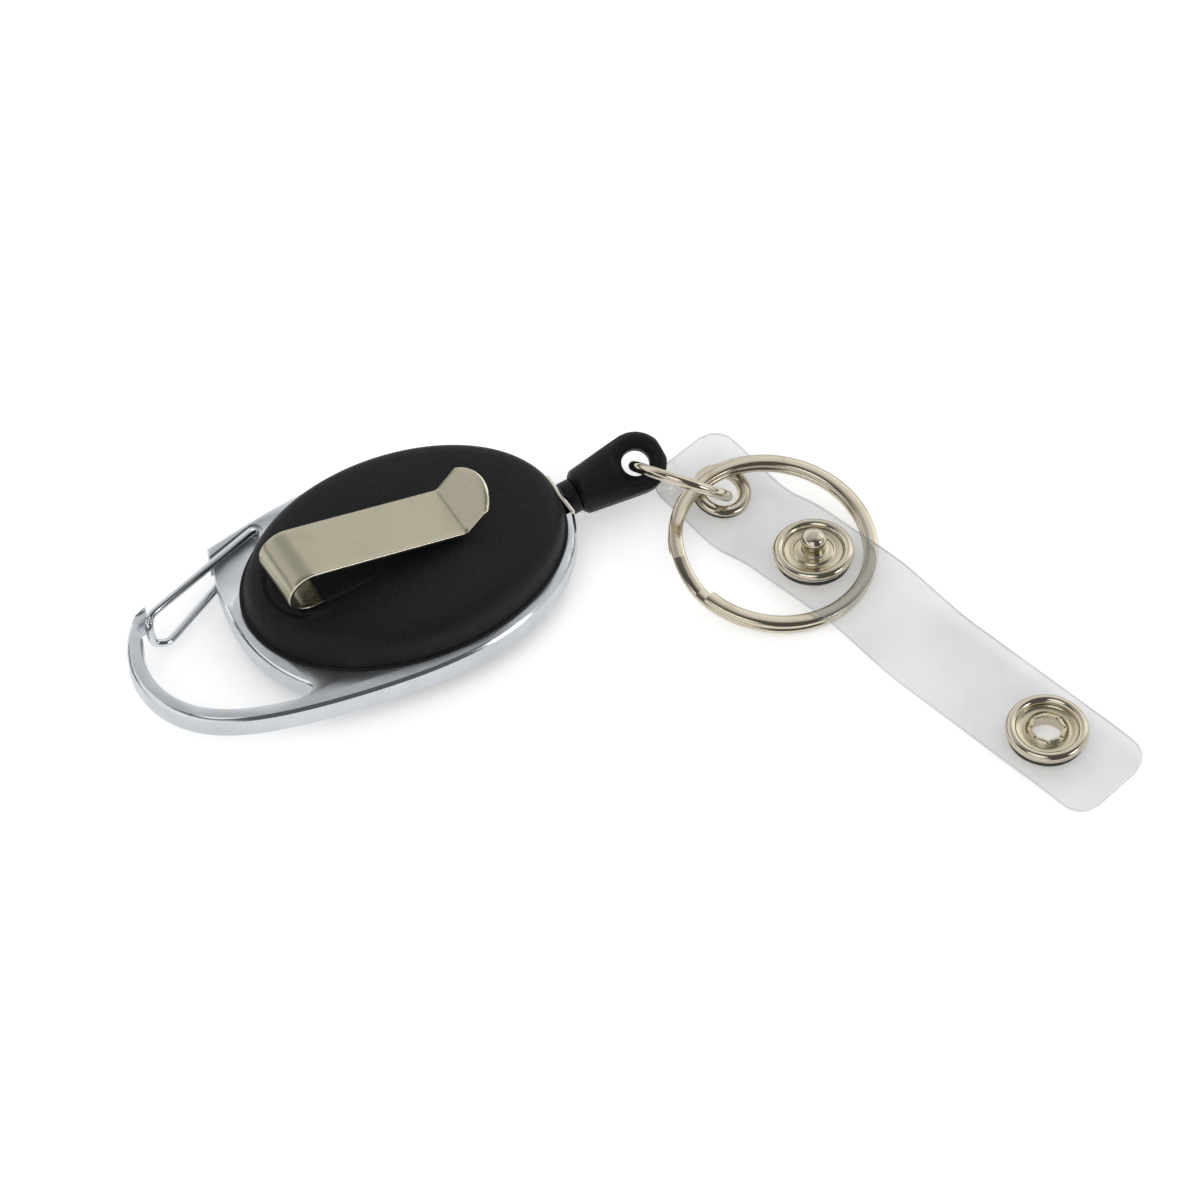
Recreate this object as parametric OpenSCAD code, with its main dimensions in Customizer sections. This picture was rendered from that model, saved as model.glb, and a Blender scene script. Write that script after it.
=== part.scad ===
// Belt key clip: an oval carabiner reel lying on its front face, with its belt clip up.
// The origin is on the spool axis, on the flat front face. The cord leaves along +X.

/* [Frame] */
// Length of the oval frame
frame_len = 62.8; // [61:0.1:65]
// Width of the oval frame
frame_w = 35; // [34.9:0.1:37]
// Thickness of the frame
frame_t = 3.6; // [3.2:0.1:4.4]
// Height of the frame's underside above the ground
frame_lift = 3.1; // [2.6:0.1:3.6]
// Place of the spool axis along the frame, as a share of its length from the hook's end
reel_at_share = 0.6194; // [0.615:0.001:0.625]
// Width of the bevel along the frame's edges
frame_bevel = 0.4; // [0.2:0.05:0.6]
// Width of the hook's arm
arm_w = 2.1; // [1.8:0.1:2.6]
// Thickness of the cross bar between the hook and the case, on the long axis
bar_w = 2.0; // [1.6:0.1:2.3]
// Radius of the cross bar's hollow side
bar_r = 19; // [17:0.5:24]
// Radius of the notch that the gate's nose rests in
notch_r = 1.25; // [1.15:0.05:1.3]
// Length of the notch's open side
notch_run = 3.3; // [3.1:0.1:3.5]

/* [Gate] */
// Diameter of the gate's wire
gate_wire = 1.15; // [1:0.05:1.3]
// Place of the gate's pivot along the frame, as a share of its length from the hook's end
pivot_along_share = 0.387; // [0.383:0.001:0.391]
// Place of the gate's pivot across the frame, as a share of its half width
pivot_across_share = 0.834; // [0.825:0.001:0.843]
// How far the centre of each gate leg stands off the frame's face
gate_stand = 0.3; // [0.2:0.05:0.4]
// Radial clearance of the gate's pivot in the frame
gate_fit = 0.06; // [0.03:0.01:0.1]
// Largest angle that the gate opens
gate_open = 18; // [10:1:18]

/* [Case] */
// Land of the frame past the flange, at the cord's end
land_a = 1.15; // [0.9:0.05:1.3]
// Land of the frame past the flange, at its sides
land_b = 1.2; // [1:0.05:1.4]
// Thickness of the case's flange
flange_t = 0.45; // [0.35:0.05:0.6]
// Height of the rear shell above the frame
rear_h = 4.75; // [4.5:0.05:5]
// Lap of the flange over the frame at the window's ends
lap_a = 0.8; // [0.6:0.05:1]
// Lap of the flange over the frame at the window's sides
lap_b = 0.5; // [0.4:0.05:0.7]
// Wall thickness of the shells
wall = 1.2; // [1:0.05:1.4]
// Thickness of the rear shell's roof
roof_t = 1.55; // [1.3:0.05:1.8]
// Clearance between the shells and the frame's window
shell_fit = 0.05; // [0.03:0.01:0.1]
// Diameter of the case's four alignment pins
pin_d = 1.6; // [1.2:0.1:2]

/* [Reel] */
// Gap between the spool's rim and the case's wall
spool_clear = 0.55; // [0.4:0.05:1]
// Depth of the groove that the cord is wound in
groove_depth = 3.8; // [3.5:0.1:4.5]
// Thickness of each spool flange
spool_flange_t = 0.8; // [0.6:0.05:1]
// Height between the spool's flanges
groove_h = 4.6; // [4:0.1:4.8]
// Diameter of the centre post
post_d = 4.2; // [3.6:0.1:5]
// Radial clearance between the spool and its post
post_fit = 0.06; // [0.03:0.01:0.1]
// Diameter of the cord
cord_d = 0.9; // [0.7:0.05:1.1]
// Layers of cord on the drum when the cord is in
cord_layers = 3; // [2:1:3]
// Turns of the power spring
spring_turns = 6; // [4:1:7]
// Thickness of the power spring's strip
spring_t = 0.25; // [0.15:0.05:0.3]

/* [Belt clip] */
// Width of the belt clip's strip
clip_w = 8.5; // [8:0.1:9]
// Thickness of the belt clip's strip
clip_t = 0.6; // [0.5:0.05:0.7]
// Outer radius of the belt clip's U-bend
clip_r = 3.3; // [3.3:0.05:3.6]
// Distance from the flange's end to the U-bend's outermost point
clip_inset = 4.05; // [3.7:0.05:4.4]
// Length of the blade from the U-bend to the fold
blade_run = 22; // [21.5:0.1:22.5]
// Slope of the blade down towards the fold
blade_slope = 12.7; // [12.5:0.1:13.2]
// Length of the raised lip past the fold
lip_run = 5.7; // [5:0.1:6.2]
// Rise angle of the lip
lip_rise = 44; // [38:1:50]
// Distance from the centre of the U-bend to the bridge over the clip's tab
bridge_set = 1.6; // [1.4:0.1:2]
// Length of the bridge
bridge_run = 8.5; // [8:0.1:9]
// Thickness of the bridge over the tab
bridge_t = 0.7; // [0.6:0.05:0.8]

/* [End fitting] */
// Diameter of the fitting's neck
neck_d = 4.7; // [4.3:0.1:5]
// Length of the neck outside the guide
neck_run = 1.8; // [1.4:0.1:2.2]
// Diameter of the fitting's shoulder
shoulder_d = 6.3; // [6:0.1:6.8]
// Length of the fitting from its shoulder to its tip
bell_run = 13.3; // [13.2:0.1:13.6]
// Width of the fitting across its eye
paddle_w = 8.4; // [8:0.1:8.8]
// Thickness of the fitting at its eye
paddle_t = 3; // [2.8:0.1:3.2]
// Diameter of the eye
eye_d = 3.8; // [3.7:0.1:4]
// Width of the flare at each mouth of the eye
eye_flare = 0.8; // [0.7:0.05:0.9]
// Lift of the fitting's tip above the line of the cord
fitting_lift = 9; // [8.5:0.5:10]
// Swing of the fitting's tip to the side of the cord
fitting_swing = -2.5; // [-3:0.5:-1]
// Roll of the eye's axis about the cord
eye_roll = 24; // [22:1:25]

/* [Rings] */
// Diameter of the small ring at the middle of its wire
link_d = 13.1; // [13:0.1:13.2]
// Diameter of the small ring's wire
link_wire = 1.5; // [1.3:0.05:1.55]
// Height of the small ring's lowest point
link_rest = 0.15; // [0.1:0.05:0.2]
// How far the small ring's centre lies past the eye
link_past_eye = 3.85; // [3.8:0.05:3.9]
// How far the small ring's centre lies to the side of the cord
link_aside = 5.7; // [5.6:0.1:5.8]
// Outer diameter of the key ring
key_ring_d = 28; // [27.5:0.1:28.5]
// Radial width of the key ring's wire
key_ring_w = 1.9; // [1.6:0.05:2.1]
// Height of one coil of the key ring
key_ring_h = 0.98; // [0.9:0.01:1]
// Tilt of the key ring on the strap
key_ring_tilt = 7.5; // [7:0.5:9]
// Direction from the small ring's centre to the key ring's, in degrees
key_heading = -63.7; // [-65:0.1:-62]
// How far the small ring's centre lies outside the key ring's circle
key_hang = 0.67; // [0.5:0.01:0.8]

/* [Strap] */
// Length of the strap
strap_len = 76.8; // [75:0.1:78]
// Width of the strap
strap_w = 14; // [13.5:0.1:15.5]
// Thickness of the strap
strap_t = 0.5; // [0.4:0.05:0.6]
// Corner radius of the strap
strap_corner = 3.4; // [3.2:0.1:4]
// Distance from the strap's tab end to its eyelet
eyelet_at = 7.7; // [7.4:0.1:8]
// Distance from the strap's tab end to the snap's stud
stud_at = 24.4; // [24.2:0.1:24.6]
// Distance from the strap's far end to the snap's socket
socket_from_end = 11.9; // [11:0.1:12.5]
// Rise of the film at the eyelet towards the tab end
tab_tilt = 14; // [13:0.5:15]
// Compass heading of the strap
strap_heading = -74.7; // [-75.5:0.1:-74]
// How far the eyelet lies past the small ring's centre
eyelet_past_link = 5.6; // [5.5:0.05:5.7]
// How far the eyelet lies to the side of the small ring's centre
eyelet_aside = 1.5; // [1.4:0.05:1.6]

/* [Snap and eyelet] */
// Outer diameter of the snap's stud and socket
snap_d = 10.8; // [10.4:0.1:11.2]
// Diameter of the stud's head
stud_head_d = 3.4; // [3:0.1:3.6]
// Diameter of the hole in the socket
socket_hole_d = 3.7; // [3.65:0.05:4]
// Outer diameter of the eyelet
eyelet_d = 8.1; // [7.6:0.1:8.4]
// Diameter of the eyelet's hole
eyelet_hole_d = 4.8; // [4.6:0.1:5]

/* [Hidden] */

// One overrun serves all cuts, a through cut passes any thin piece, and one gap keeps moving pieces apart.
over = 1;
through = 8;
gap = 0.3;
play = 0.02;
rest_lift = 0.1;
smooth = 96;
fine = 48;
straight_angle = 180;

// Frame ends and heights
frame_end = frame_len * (1 - reel_at_share);
hook_x = frame_end - frame_len;
frame_z0 = frame_lift;
frame_z1 = frame_lift + frame_t;
frame_mid = (frame_z0 + frame_z1) / 2;
// Egg outline: sides of its polygon, and how far it leans, fills out and squares up
egg_n = 120;
egg_lean_share = 0.0176;
egg_fill_share = 0.073;
egg_square_share = 0.0445;
egg_reach_share = 0.9348;
// Gap for the gate, as shares of the frame's length and half width
gate_gap_shares = [
    [0.1, 1.15], [0.1, 0.6], [0.08, 0.32], [0.16, 0.23], [0.25, 0.56], [0.264, 0.7], [0.281, 0.83],
    [0.281, 1.15]
];
// Hook opening: where the arm's inner edge starts and ends, and the rounded corner beside the bar
hook_up_turn = 61;
hook_low_turn = 61.4;
hook_corner_r = 1.1;
hook_corner_turn = 35.8;
hook_corner_from = -102;
// Radius of the cross bar's straighter half, on the gate's side, and how far it turns
bar_side_r = 37;
bar_side_turn = 20.5;
flange_a = frame_end - land_a;
flange_b = frame_w / 2 - land_b;
bar_x = bar_r - bar_w - (flange_a - lap_a);

// Case ellipses
window_a = flange_a - lap_a;
window_b = flange_b - lap_b;
spigot_a = window_a - shell_fit;
spigot_b = window_b - shell_fit;
chamber_a = spigot_a - wall;
chamber_b = spigot_b - wall;
rear_z = frame_z1 + rear_h;
roof_z = rear_z - roof_t;
// Rear shell outline: share of its height, and inset as a share of the flange's half width
rear_shares = [[0.09, 0.018], [0.5, 0.038], [0.7, 0.056], [0.83, 0.083], [0.92, 0.125], [0.97, 0.19],
    [0.99, 0.34], [1, 0.6]];
// Front shell outline, from its flat face up: share of the frame's lift, and inset
front_shares = [[0, 0.17], [0.05, 0.12], [0.2, 0.075], [0.45, 0.045], [0.86, 0.022]];
// How much more gently the shells round off on the hook's side
hook_side_share = 0.5;
// Alignment posts: the wall round their pins, and their clearance from the spool
post_wall = 1;
post_r = pin_d / 2 + post_wall;
post_clear = 0.8;

// Pocket, tab and bridge of the belt clip
clip_x = clip_inset - flange_a;
pocket_t = 0.4;
tab_z = rear_z - pocket_t;
tab_run = 6.2;
u_x = clip_x + clip_r;
u_z = tab_z + clip_r;
fold_r = 1;
lip_round = 6.8;
bridge_x = u_x + bridge_set;
bridge_w = clip_w + wall / 2;
bridge_taper_share = 0.8;
arc_steps = 12;

// Exit guide
guide_w = 7.2;
guide_t = 0.7;
guide_hole_d = 1.8;
guide_x = frame_end - guide_t - gap;
exit_from_share = 0.8;
exit_aside = 1.8;
exit_h = 3 * cord_d;

// Spool heights
spool_z0 = wall + gap;
groove_z0 = frame_mid - groove_h / 2;
groove_z1 = groove_z0 + groove_h;
spool_z1 = groove_z1 + spool_flange_t;
spool_r = chamber_b - spool_clear;
drum_r = spool_r - groove_depth;
drum_wall = 1;
wound_r = drum_r + cord_layers * cord_d;
post_side_share = 0.56;
post_y = post_side_share * chamber_b;
post_x = sqrt(pow(spool_r + post_r + post_clear, 2) - post_y * post_y);
cap_t = 0.6;
cap_lap = 0.6;
spring_r0 = post_d / 2 + 2 * gap;
spring_r1 = drum_r - drum_wall - spring_t;
collar_r = 0.7 * post_d;

// Gate
pivot_x = hook_x + pivot_along_share * frame_len;
pivot_y = pivot_across_share * frame_w / 2;
gate_r = gate_wire / 2;
gate_z0 = frame_z0 - gate_stand;
gate_z1 = frame_z1 + gate_stand;
gate_pin = 0.7;
gate_bend = 1.6 * gate_r;
gate_clear = 0.15;
gate_pocket_t = gate_r - gate_stand + gate_clear;
nose_at_shares = [0.078, 0.411];
nose_x = hook_x + nose_at_shares[0] * frame_len;
nose_y = nose_at_shares[1] * frame_w / 2;
// Recess beside the pivot: how far it reaches, and the compass angles that it spans
pocket_reach = 12.8;
pocket_from = 192;
pocket_margin = 10;
pocket_to = pocket_from + 2 * pocket_margin + gate_open;
// Corners of the gate's wire as shares of the way from its nose to its pivot, and of its height
gate_route_shares = [
    [0.062, 0.17, 1], [0.021, 0.03, 0.87], [0.026, -0.041, 0.13], [0.124, -0.122, 0], [0.634, 0.595, 0]
];

// End fitting
fit_x = frame_end;
neck_gap = 0.1;
tip_run = neck_run + bell_run;
eye_run = tip_run - paddle_w / 2;
eye_x = fit_x + eye_run * cos(fitting_lift) * cos(fitting_swing);
tip_flat = 0.25;
knot_d = 2.2;
knot_at = 2.6;
cord_bore = cord_d + 2 * gap;
edge_t = 0.6;

// Small ring: its plane leans, rises to the eye and dips into the eyelet.
link_tilt = 51.3;
link_turn = 36.6;
link_x = eye_x + link_past_eye;
link_y = -link_aside;
link_z = link_d / 2 * sin(link_tilt) + link_wire / 2 + link_rest;

// Key ring: one wire of two coils, which cross over in a short ramp
key_coil_h = 2 * key_ring_h + play;
key_from_link = key_ring_d / 2 + key_hang;
key_x = link_x + key_from_link * cos(key_heading);
key_y = link_y + key_from_link * sin(key_heading);
key_z = key_coil_h / 2 * cos(key_ring_tilt) + key_ring_d / 2 * sin(key_ring_tilt) + rest_lift;
key_lift_dir = 113.5;
key_ramp_dir = 179;
key_ramp_half = 18;
key_steps = 108;
key_corner_share = 0.3;

// Strap: s runs along it from its tab end.
strap_x = link_x + eyelet_past_link;
strap_y = link_y - eyelet_aside;
film_eyelet_z = 2.1;
film_tab_z = 3.75;
socket_at = strap_len - socket_from_end;
fold_at = (stud_at + socket_at) / 2;
film_step = 0.8;
film_corner_shares = [0.02, 0.12, 0.3, 0.6, 1];
film_dip_z = 1;
film_stud_z = 2.75;
film_ring_z = 3.35;
film_low_z = 1.35;
film_end_z = 0.8;
eyelet_r = eyelet_d / 2;
snap_r = snap_d / 2;
tab_drop = tan(tab_tilt);
film_flat = eyelet_r + film_step;
stud_rise = 0.055;
// Knots of the film: place along the strap and height
film_knots = [
    [0, film_tab_z],
    [eyelet_at - film_flat, film_eyelet_z + film_flat * tab_drop],
    [eyelet_at + film_flat, film_eyelet_z - film_flat * tab_drop],
    [stud_at - 1.9 * snap_r, film_dip_z],
    [stud_at - 1.2 * snap_r, film_stud_z - 1.2 * snap_r * stud_rise],
    [stud_at + snap_r + key_ring_w, film_stud_z + (snap_r + key_ring_w) * stud_rise],
    [stud_at + snap_r + 2 * key_ring_w, film_ring_z],
    [fold_at, film_low_z],
    [socket_at + 1.2 * snap_r, film_low_z],
    [strap_len, film_end_z]
];
plate_t = 0.35;
stud_rim_h = 1.5;
dish_h = 0.75;
inner_rim_h = 1.05;
stud_h = 3.9;
stud_head_r = stud_head_d / 2;
stud_neck_r = stud_head_r - plate_t / 2;
stud_head_shares = [0.3, 0.5];
stud_cone_h = stud_head_shares[0] * stud_head_r;
stud_dome_h = stud_head_shares[1] * stud_head_r;
stud_neck_h = stud_h - stud_cone_h - stud_dome_h;
cap_h = 0.9;
eyelet_h = 0.45;
film_top = strap_t / 2 + play;

// Shared shapes
function egg_at(t) = [
    hook_x + frame_len / 2 * (1 - cos(t)),
    frame_w / 2 / egg_reach_share * sin(t)
        * (1 - egg_lean_share * cos(t) + egg_fill_share * cos(2 * t) + egg_square_share * cos(3 * t))
];
function egg_out(t) = let(d = egg_at(t + 0.5) - egg_at(t - 0.5)) [-d[1], d[0]] / norm(d);
function egg_ring(inset, z) = [
    for (i = [0:egg_n - 1])
        let(t = 360 - (i + 0.5) * 360 / egg_n, p = egg_at(t) - inset * egg_out(t)) [p[0], p[1], z]
];
function oval_ring(a, b, z) = [for (i = [0:egg_n - 1]) let(t = i * 360 / egg_n) [a * cos(t), b * sin(t), z]];
function case_ring(inset, z) = [
    for (i = [0:egg_n - 1])
        let(t = i * 360 / egg_n, lean = cos(t) < 0 ? hook_side_share : 0)
            [(flange_a - inset * (1 + lean)) * cos(t), (flange_b - inset) * sin(t), z]
];
function arc(cx, cy, r, a0, a1, steps) = [
    for (i = [0:steps]) let(a = a0 + (a1 - a0) * i / steps) [cx + r * cos(a), cy + r * sin(a)]
];
function unit(v) = v / norm(v);
function curve(a, b, c, u) = (1 - u) * (1 - u) * a + 2 * u * (1 - u) * b + u * u * c;
function bent(p, cut, steps) = [
    for (i = [0:len(p) - 1])
        each (i == 0 || i == len(p) - 1 ? [p[i]] :
            let(a = p[i] + cut * unit(p[i - 1] - p[i]), b = p[i] + cut * unit(p[i + 1] - p[i]))
                [for (k = [0:steps]) curve(a, p[i], b, k / steps)])
];
function way(p, i) = unit(p[min(i + 1, len(p) - 1)] - p[max(i - 1, 0)]);
function tube_rings(p, r, sides, up) = [
    for (i = [0:len(p) - 1])
        let(t = way(p, i), x = unit(cross(up, t)), y = cross(t, x))
            [for (k = [0:sides - 1]) let(a = k * 360 / sides) p[i] + r * cos(a) * x + r * sin(a) * y]
];
module loft(rings) {
    n = len(rings[0]);
    m = len(rings);
    ends = [[for (i = [0:n - 1]) i], [for (i = [n - 1:-1:0]) (m - 1) * n + i]];
    sides = [
        for (j = [0:m - 2], i = [0:n - 1])
            let(a = j * n + i, b = j * n + (i + 1) % n) each [[a, a + n, b + n], [a, b + n, b]]
    ];
    polyhedron([for (ring = rings) each ring], concat(ends, sides));
}
module strip(path, w, t) {
    n = len(path);
    sides = [for (i = [0:n - 1]) let(d = way(path, i)) [-d[1], d[0]] * t / 2];
    points = concat([for (i = [0:n - 1]) path[i] + sides[i]], [for (i = [n - 1:-1:0]) path[i] - sides[i]]);
    rotate([90, 0, 0]) linear_extrude(w, center = true) polygon(points);
}
module block(from, to) {
    translate(from) cube(to - from);
}

// Frame
function hook_line() = concat(
    [
        for (i = [0:egg_n / 2])
            let(t = hook_up_turn - (hook_up_turn + hook_low_turn) * 2 * i / egg_n)
                egg_at(t) - arm_w * egg_out(t)
    ],
    arc(bar_x - (bar_r + hook_corner_r) * cos(hook_corner_turn), -(bar_r + hook_corner_r) * sin(hook_corner_turn),
        hook_corner_r, hook_corner_from, hook_corner_turn, arc_steps),
    arc(bar_x, 0, bar_r, straight_angle + hook_corner_turn - 1, straight_angle, arc_steps),
    arc(bar_x - bar_r + bar_side_r, 0, bar_side_r, straight_angle - 1, straight_angle - bar_side_turn, arc_steps)
);
function outward(p, i) =
    let(n = len(p), d = p[(i + 1) % n] - p[(i + n - 1) % n]) [d[1], -d[0]] / norm(d);
function hook_ring(grow, z) =
    let(p = hook_line()) [for (i = [0:len(p) - 1]) let(q = p[i] + grow * outward(p, i)) [q[0], q[1], z]];
module hook_opening() {
    loft([
        hook_ring(over, frame_z0 - over),
        hook_ring(0, frame_z0 + frame_bevel),
        hook_ring(0, frame_z1 - frame_bevel),
        hook_ring(over, frame_z1 + over)
    ]);
}
module gate_gap() {
    points = [for (s = gate_gap_shares) [hook_x + s[0] * frame_len, s[1] * frame_w / 2]];
    translate([0, 0, frame_z0 - over]) linear_extrude(frame_t + 2 * over) polygon(points);
}
module gate_pocket(z) {
    inner = arc(0, 0, 2 * gate_r, pocket_to - 270, pocket_from - 90, 8);
    outer = arc(0, 0, pocket_reach, pocket_from, pocket_to, 8);
    difference() {
        translate([pivot_x, pivot_y, z])
            linear_extrude(gate_pocket_t + over) polygon(concat(inner, outer));
        loft([
            oval_ring(window_a + lap_b, window_b + lap_b + gap / 2, z - over),
            oval_ring(window_a + lap_b, window_b + lap_b + gap / 2, z + gate_pocket_t + 2 * over)
        ]);
    }
}
module nose_notch() {
    translate([0, 0, frame_z0 - over]) {
        translate([nose_x, nose_y, 0]) cylinder(r = notch_r, h = frame_t + 2 * over, $fn = smooth);
        block([nose_x - notch_r, nose_y - notch_run, 0],
            [nose_x - notch_r + notch_run, nose_y, frame_t + 2 * over]);
    }
    for (z = [frame_z0 - over, frame_z1 - gate_pocket_t])
        block([nose_x - notch_r, nose_y - notch_r, z],
            [nose_x - notch_r + notch_run, nose_y - notch_r / 2 + notch_run, z + gate_pocket_t + over]);
}
module frame() color([0.80, 0.81, 0.83]) {
    difference() {
        loft([
            egg_ring(frame_bevel, frame_z0),
            egg_ring(0, frame_z0 + frame_bevel),
            egg_ring(0, frame_z1 - frame_bevel),
            egg_ring(frame_bevel, frame_z1)
        ]);
        hook_opening();
        loft([for (z = [frame_z0 - over, frame_z1 + over]) oval_ring(window_a, window_b, z)]);
        gate_gap();
        gate_pocket(frame_z0 - over);
        gate_pocket(frame_z1 - gate_pocket_t);
        nose_notch();
        block([window_a - over, -guide_w / 2 - play, frame_z0 - over],
            [frame_end + over, guide_w / 2 + play, frame_z1 + over]);
        translate([pivot_x, pivot_y, frame_z0 - over])
            cylinder(r = gate_r + play + gate_fit, h = frame_t + 2 * over, $fn = smooth);
    }
}
module exit_guide() color([0.72, 0.70, 0.64]) {
    difference() {
        block([guide_x, -guide_w / 2, frame_z0 + play], [guide_x + guide_t, guide_w / 2, frame_z1 - play]);
        translate([guide_x - over, 0, frame_mid])
            rotate([0, 90, 0]) cylinder(d = guide_hole_d, h = guide_t + 2 * over, $fn = smooth);
    }
}

// Case
module exit_cut() {
    from = exit_from_share * chamber_a;
    reach = lead_from[1] * (lead_x - from) / (lead_x - lead_from[0]) + cord_d;
    block([from, -exit_aside, frame_mid - exit_h / 2], [flange_a + over, reach, frame_mid + exit_h / 2]);
}
module posts(z0, z1, r) {
    for (x = [-1, 1], y = [-1, 1])
        translate([x * post_x, y * post_y, z0]) cylinder(r = r, h = z1 - z0, $fn = fine);
}
module front_shell() color([0.12, 0.12, 0.13]) {
    difference() {
        loft(concat(
            [for (s = front_shares) case_ring(s[1] * flange_b, s[0] * frame_lift)],
            [
                case_ring(0, frame_z0 - flange_t),
                case_ring(0, frame_z0),
                oval_ring(spigot_a, spigot_b, frame_z0),
                oval_ring(spigot_a, spigot_b, frame_mid)
            ]
        ));
        loft([oval_ring(chamber_a, chamber_b, wall), oval_ring(chamber_a, chamber_b, frame_mid + over)]);
        exit_cut();
    }
    difference() {
        posts(wall - play, frame_mid, post_r);
        posts(wall + over, frame_mid + over, pin_d / 2 + play);
    }
}
module rear_shell() color([0.11, 0.11, 0.12]) {
    difference() {
        union() {
            loft(concat(
                [
                    oval_ring(spigot_a, spigot_b, frame_mid),
                    oval_ring(spigot_a, spigot_b, frame_z1),
                    case_ring(0, frame_z1),
                    case_ring(0, frame_z1 + flange_t)
                ],
                [for (s = rear_shares) case_ring(s[1] * flange_b, frame_z1 + s[0] * rear_h)]
            ));
            bridge();
        }
        loft([oval_ring(chamber_a, chamber_b, frame_mid - over), oval_ring(chamber_a, chamber_b, roof_z)]);
        exit_cut();
        clip_pocket();
    }
    posts(frame_mid, roof_z + play, post_r);
    posts(wall + over + gap, frame_mid + play, pin_d / 2);
}
function bridge_ring(w, z0, z1, x0) = [
    [x0, w / 2, z0],
    [x0 + (bridge_x + bridge_run - x0) / 3, w / 2, z0],
    [bridge_x + bridge_run, w * bridge_taper_share / 2, z1],
    [bridge_x + bridge_run, -w * bridge_taper_share / 2, z1],
    [x0 + (bridge_x + bridge_run - x0) / 3, -w / 2, z0],
    [x0, -w / 2, z0]
];
module bridge() {
    top = tab_z + clip_t + bridge_t;
    edge = bridge_t / 3;
    loft([
        bridge_ring(bridge_w, top, rear_z + play, bridge_x + edge),
        bridge_ring(bridge_w + 2 * edge, top - edge, rear_z, bridge_x),
        bridge_ring(bridge_w + 2 * edge, rear_z - wall, rear_z - wall, bridge_x)
    ]);
}
module clip_pocket() {
    w = clip_w + 2 * shell_fit;
    block([u_x, -w / 2, tab_z], [u_x + tab_run + shell_fit, w / 2, tab_z + clip_t + shell_fit]);
    block([clip_x - over, -w / 2 - gap, tab_z], [bridge_x, w / 2 + gap, tab_z + clip_t + bridge_t + over]);
}
module center_post() color([0.75, 0.75, 0.76]) {
    collar_z = spool_z1 + cap_t + gap;
    difference() {
        union() {
            translate([0, 0, wall]) cylinder(d = post_d, h = roof_z - wall, $fn = smooth);
            translate([0, 0, collar_z]) cylinder(r = collar_r, h = roof_z - collar_z, $fn = smooth);
        }
        block([-spring_t, 0, groove_z0], [spring_t, post_d, groove_z1]);
    }
}

// Belt clip: one bent strip, split at the outermost line of its U-bend
u_mid_r = clip_r - clip_t / 2;
blade_start = [u_x + u_mid_r * sin(blade_slope), u_z + u_mid_r * cos(blade_slope)];
blade_dir = [cos(blade_slope), -sin(blade_slope)];
blade_end = blade_start + blade_run * blade_dir;
fold_centre = blade_end + fold_r * [sin(blade_slope), cos(blade_slope)];
lip_start = fold_centre + fold_r * [sin(lip_rise), -cos(lip_rise)];
lip_end = lip_start + lip_run * [cos(lip_rise), sin(lip_rise)];
module clip_base() color([0.70, 0.68, 0.62]) {
    path = concat([[u_x + tab_run, tab_z + clip_t / 2]], arc(u_x, u_z, u_mid_r, 270, 165, arc_steps));
    difference() {
        strip(path, clip_w, clip_t);
        block([clip_x - over, -clip_w, u_z], [u_x, clip_w, u_z + clip_r]);
    }
}
module clip_blade() color([0.70, 0.68, 0.62]) {
    path = concat(
        arc(u_x, u_z, u_mid_r, 195, 90 - blade_slope, arc_steps),
        arc(fold_centre[0], fold_centre[1], fold_r, -90 - blade_slope, lip_rise - 90, arc_steps),
        [lip_end]
    );
    round_x = lip_end[0] + clip_t / 2 - lip_round;
    difference() {
        intersection() {
            strip(path, clip_w, clip_t);
            translate([0, 0, tab_z]) linear_extrude(rear_z) union() {
                translate([round_x, 0]) circle(r = lip_round, $fn = 2 * smooth);
                translate([clip_x - over, -clip_w]) square([round_x - clip_x + 2 * over, 2 * clip_w]);
            }
        }
        block([clip_x - over, -clip_w, tab_z], [u_x, clip_w, u_z]);
    }
}

// Gate: one wire, with its two ends turned into the frame
module gate() color([0.82, 0.83, 0.85]) {
    pins = [
        [pivot_x, pivot_y, gate_z1 - 2 * gate_r],
        [pivot_x, pivot_y, gate_z1],
        [pivot_x, pivot_y, gate_z0],
        [pivot_x, pivot_y, gate_z0 + 2 * gate_r]
    ];
    nose = [nose_x, nose_y, gate_z0];
    span = pins[1] - nose;
    route = [for (s = gate_route_shares) nose + [s[0] * span[0], s[1] * span[1], s[2] * span[2]]];
    path = concat([pins[0], pins[1]], route, [pins[2], pins[3]]);
    loft(tube_rings(bent(path, gate_bend, 6), gate_r, 16, [0.35, -0.94, 0]));
    for (z = [gate_z1 - gate_pin - 2 * gate_r, gate_z0 + 2 * gate_r - play])
        translate([pivot_x, pivot_y, z]) cylinder(r = gate_r + play, h = gate_pin + play, $fn = smooth);
}

// Reel
module spool() color([0.85, 0.85, 0.82]) {
    rotate_extrude($fn = smooth) polygon([
        [post_d / 2 + post_fit, spool_z0],
        [drum_r, spool_z0],
        [drum_r, groove_z0 - spool_flange_t],
        [spool_r, groove_z0 - spool_flange_t],
        [spool_r, groove_z0],
        [drum_r, groove_z0],
        [drum_r, groove_z1],
        [spool_r, groove_z1],
        [spool_r, spool_z1],
        [drum_r - drum_wall, spool_z1],
        [drum_r - drum_wall, groove_z0],
        [post_d / 2 + post_fit, groove_z0]
    ]);
}
module disc_with_hole(z, h, r, hole_r) {
    translate([0, 0, z]) difference() {
        cylinder(r = r, h = h, $fn = smooth);
        translate([0, 0, -over]) cylinder(r = hole_r, h = h + 2 * over, $fn = smooth);
    }
}
module spool_cap() color([0.6, 0.6, 0.62]) {
    disc_with_hole(spool_z1, cap_t, drum_r - drum_wall + cap_lap, post_d / 2 + post_fit);
}
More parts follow.
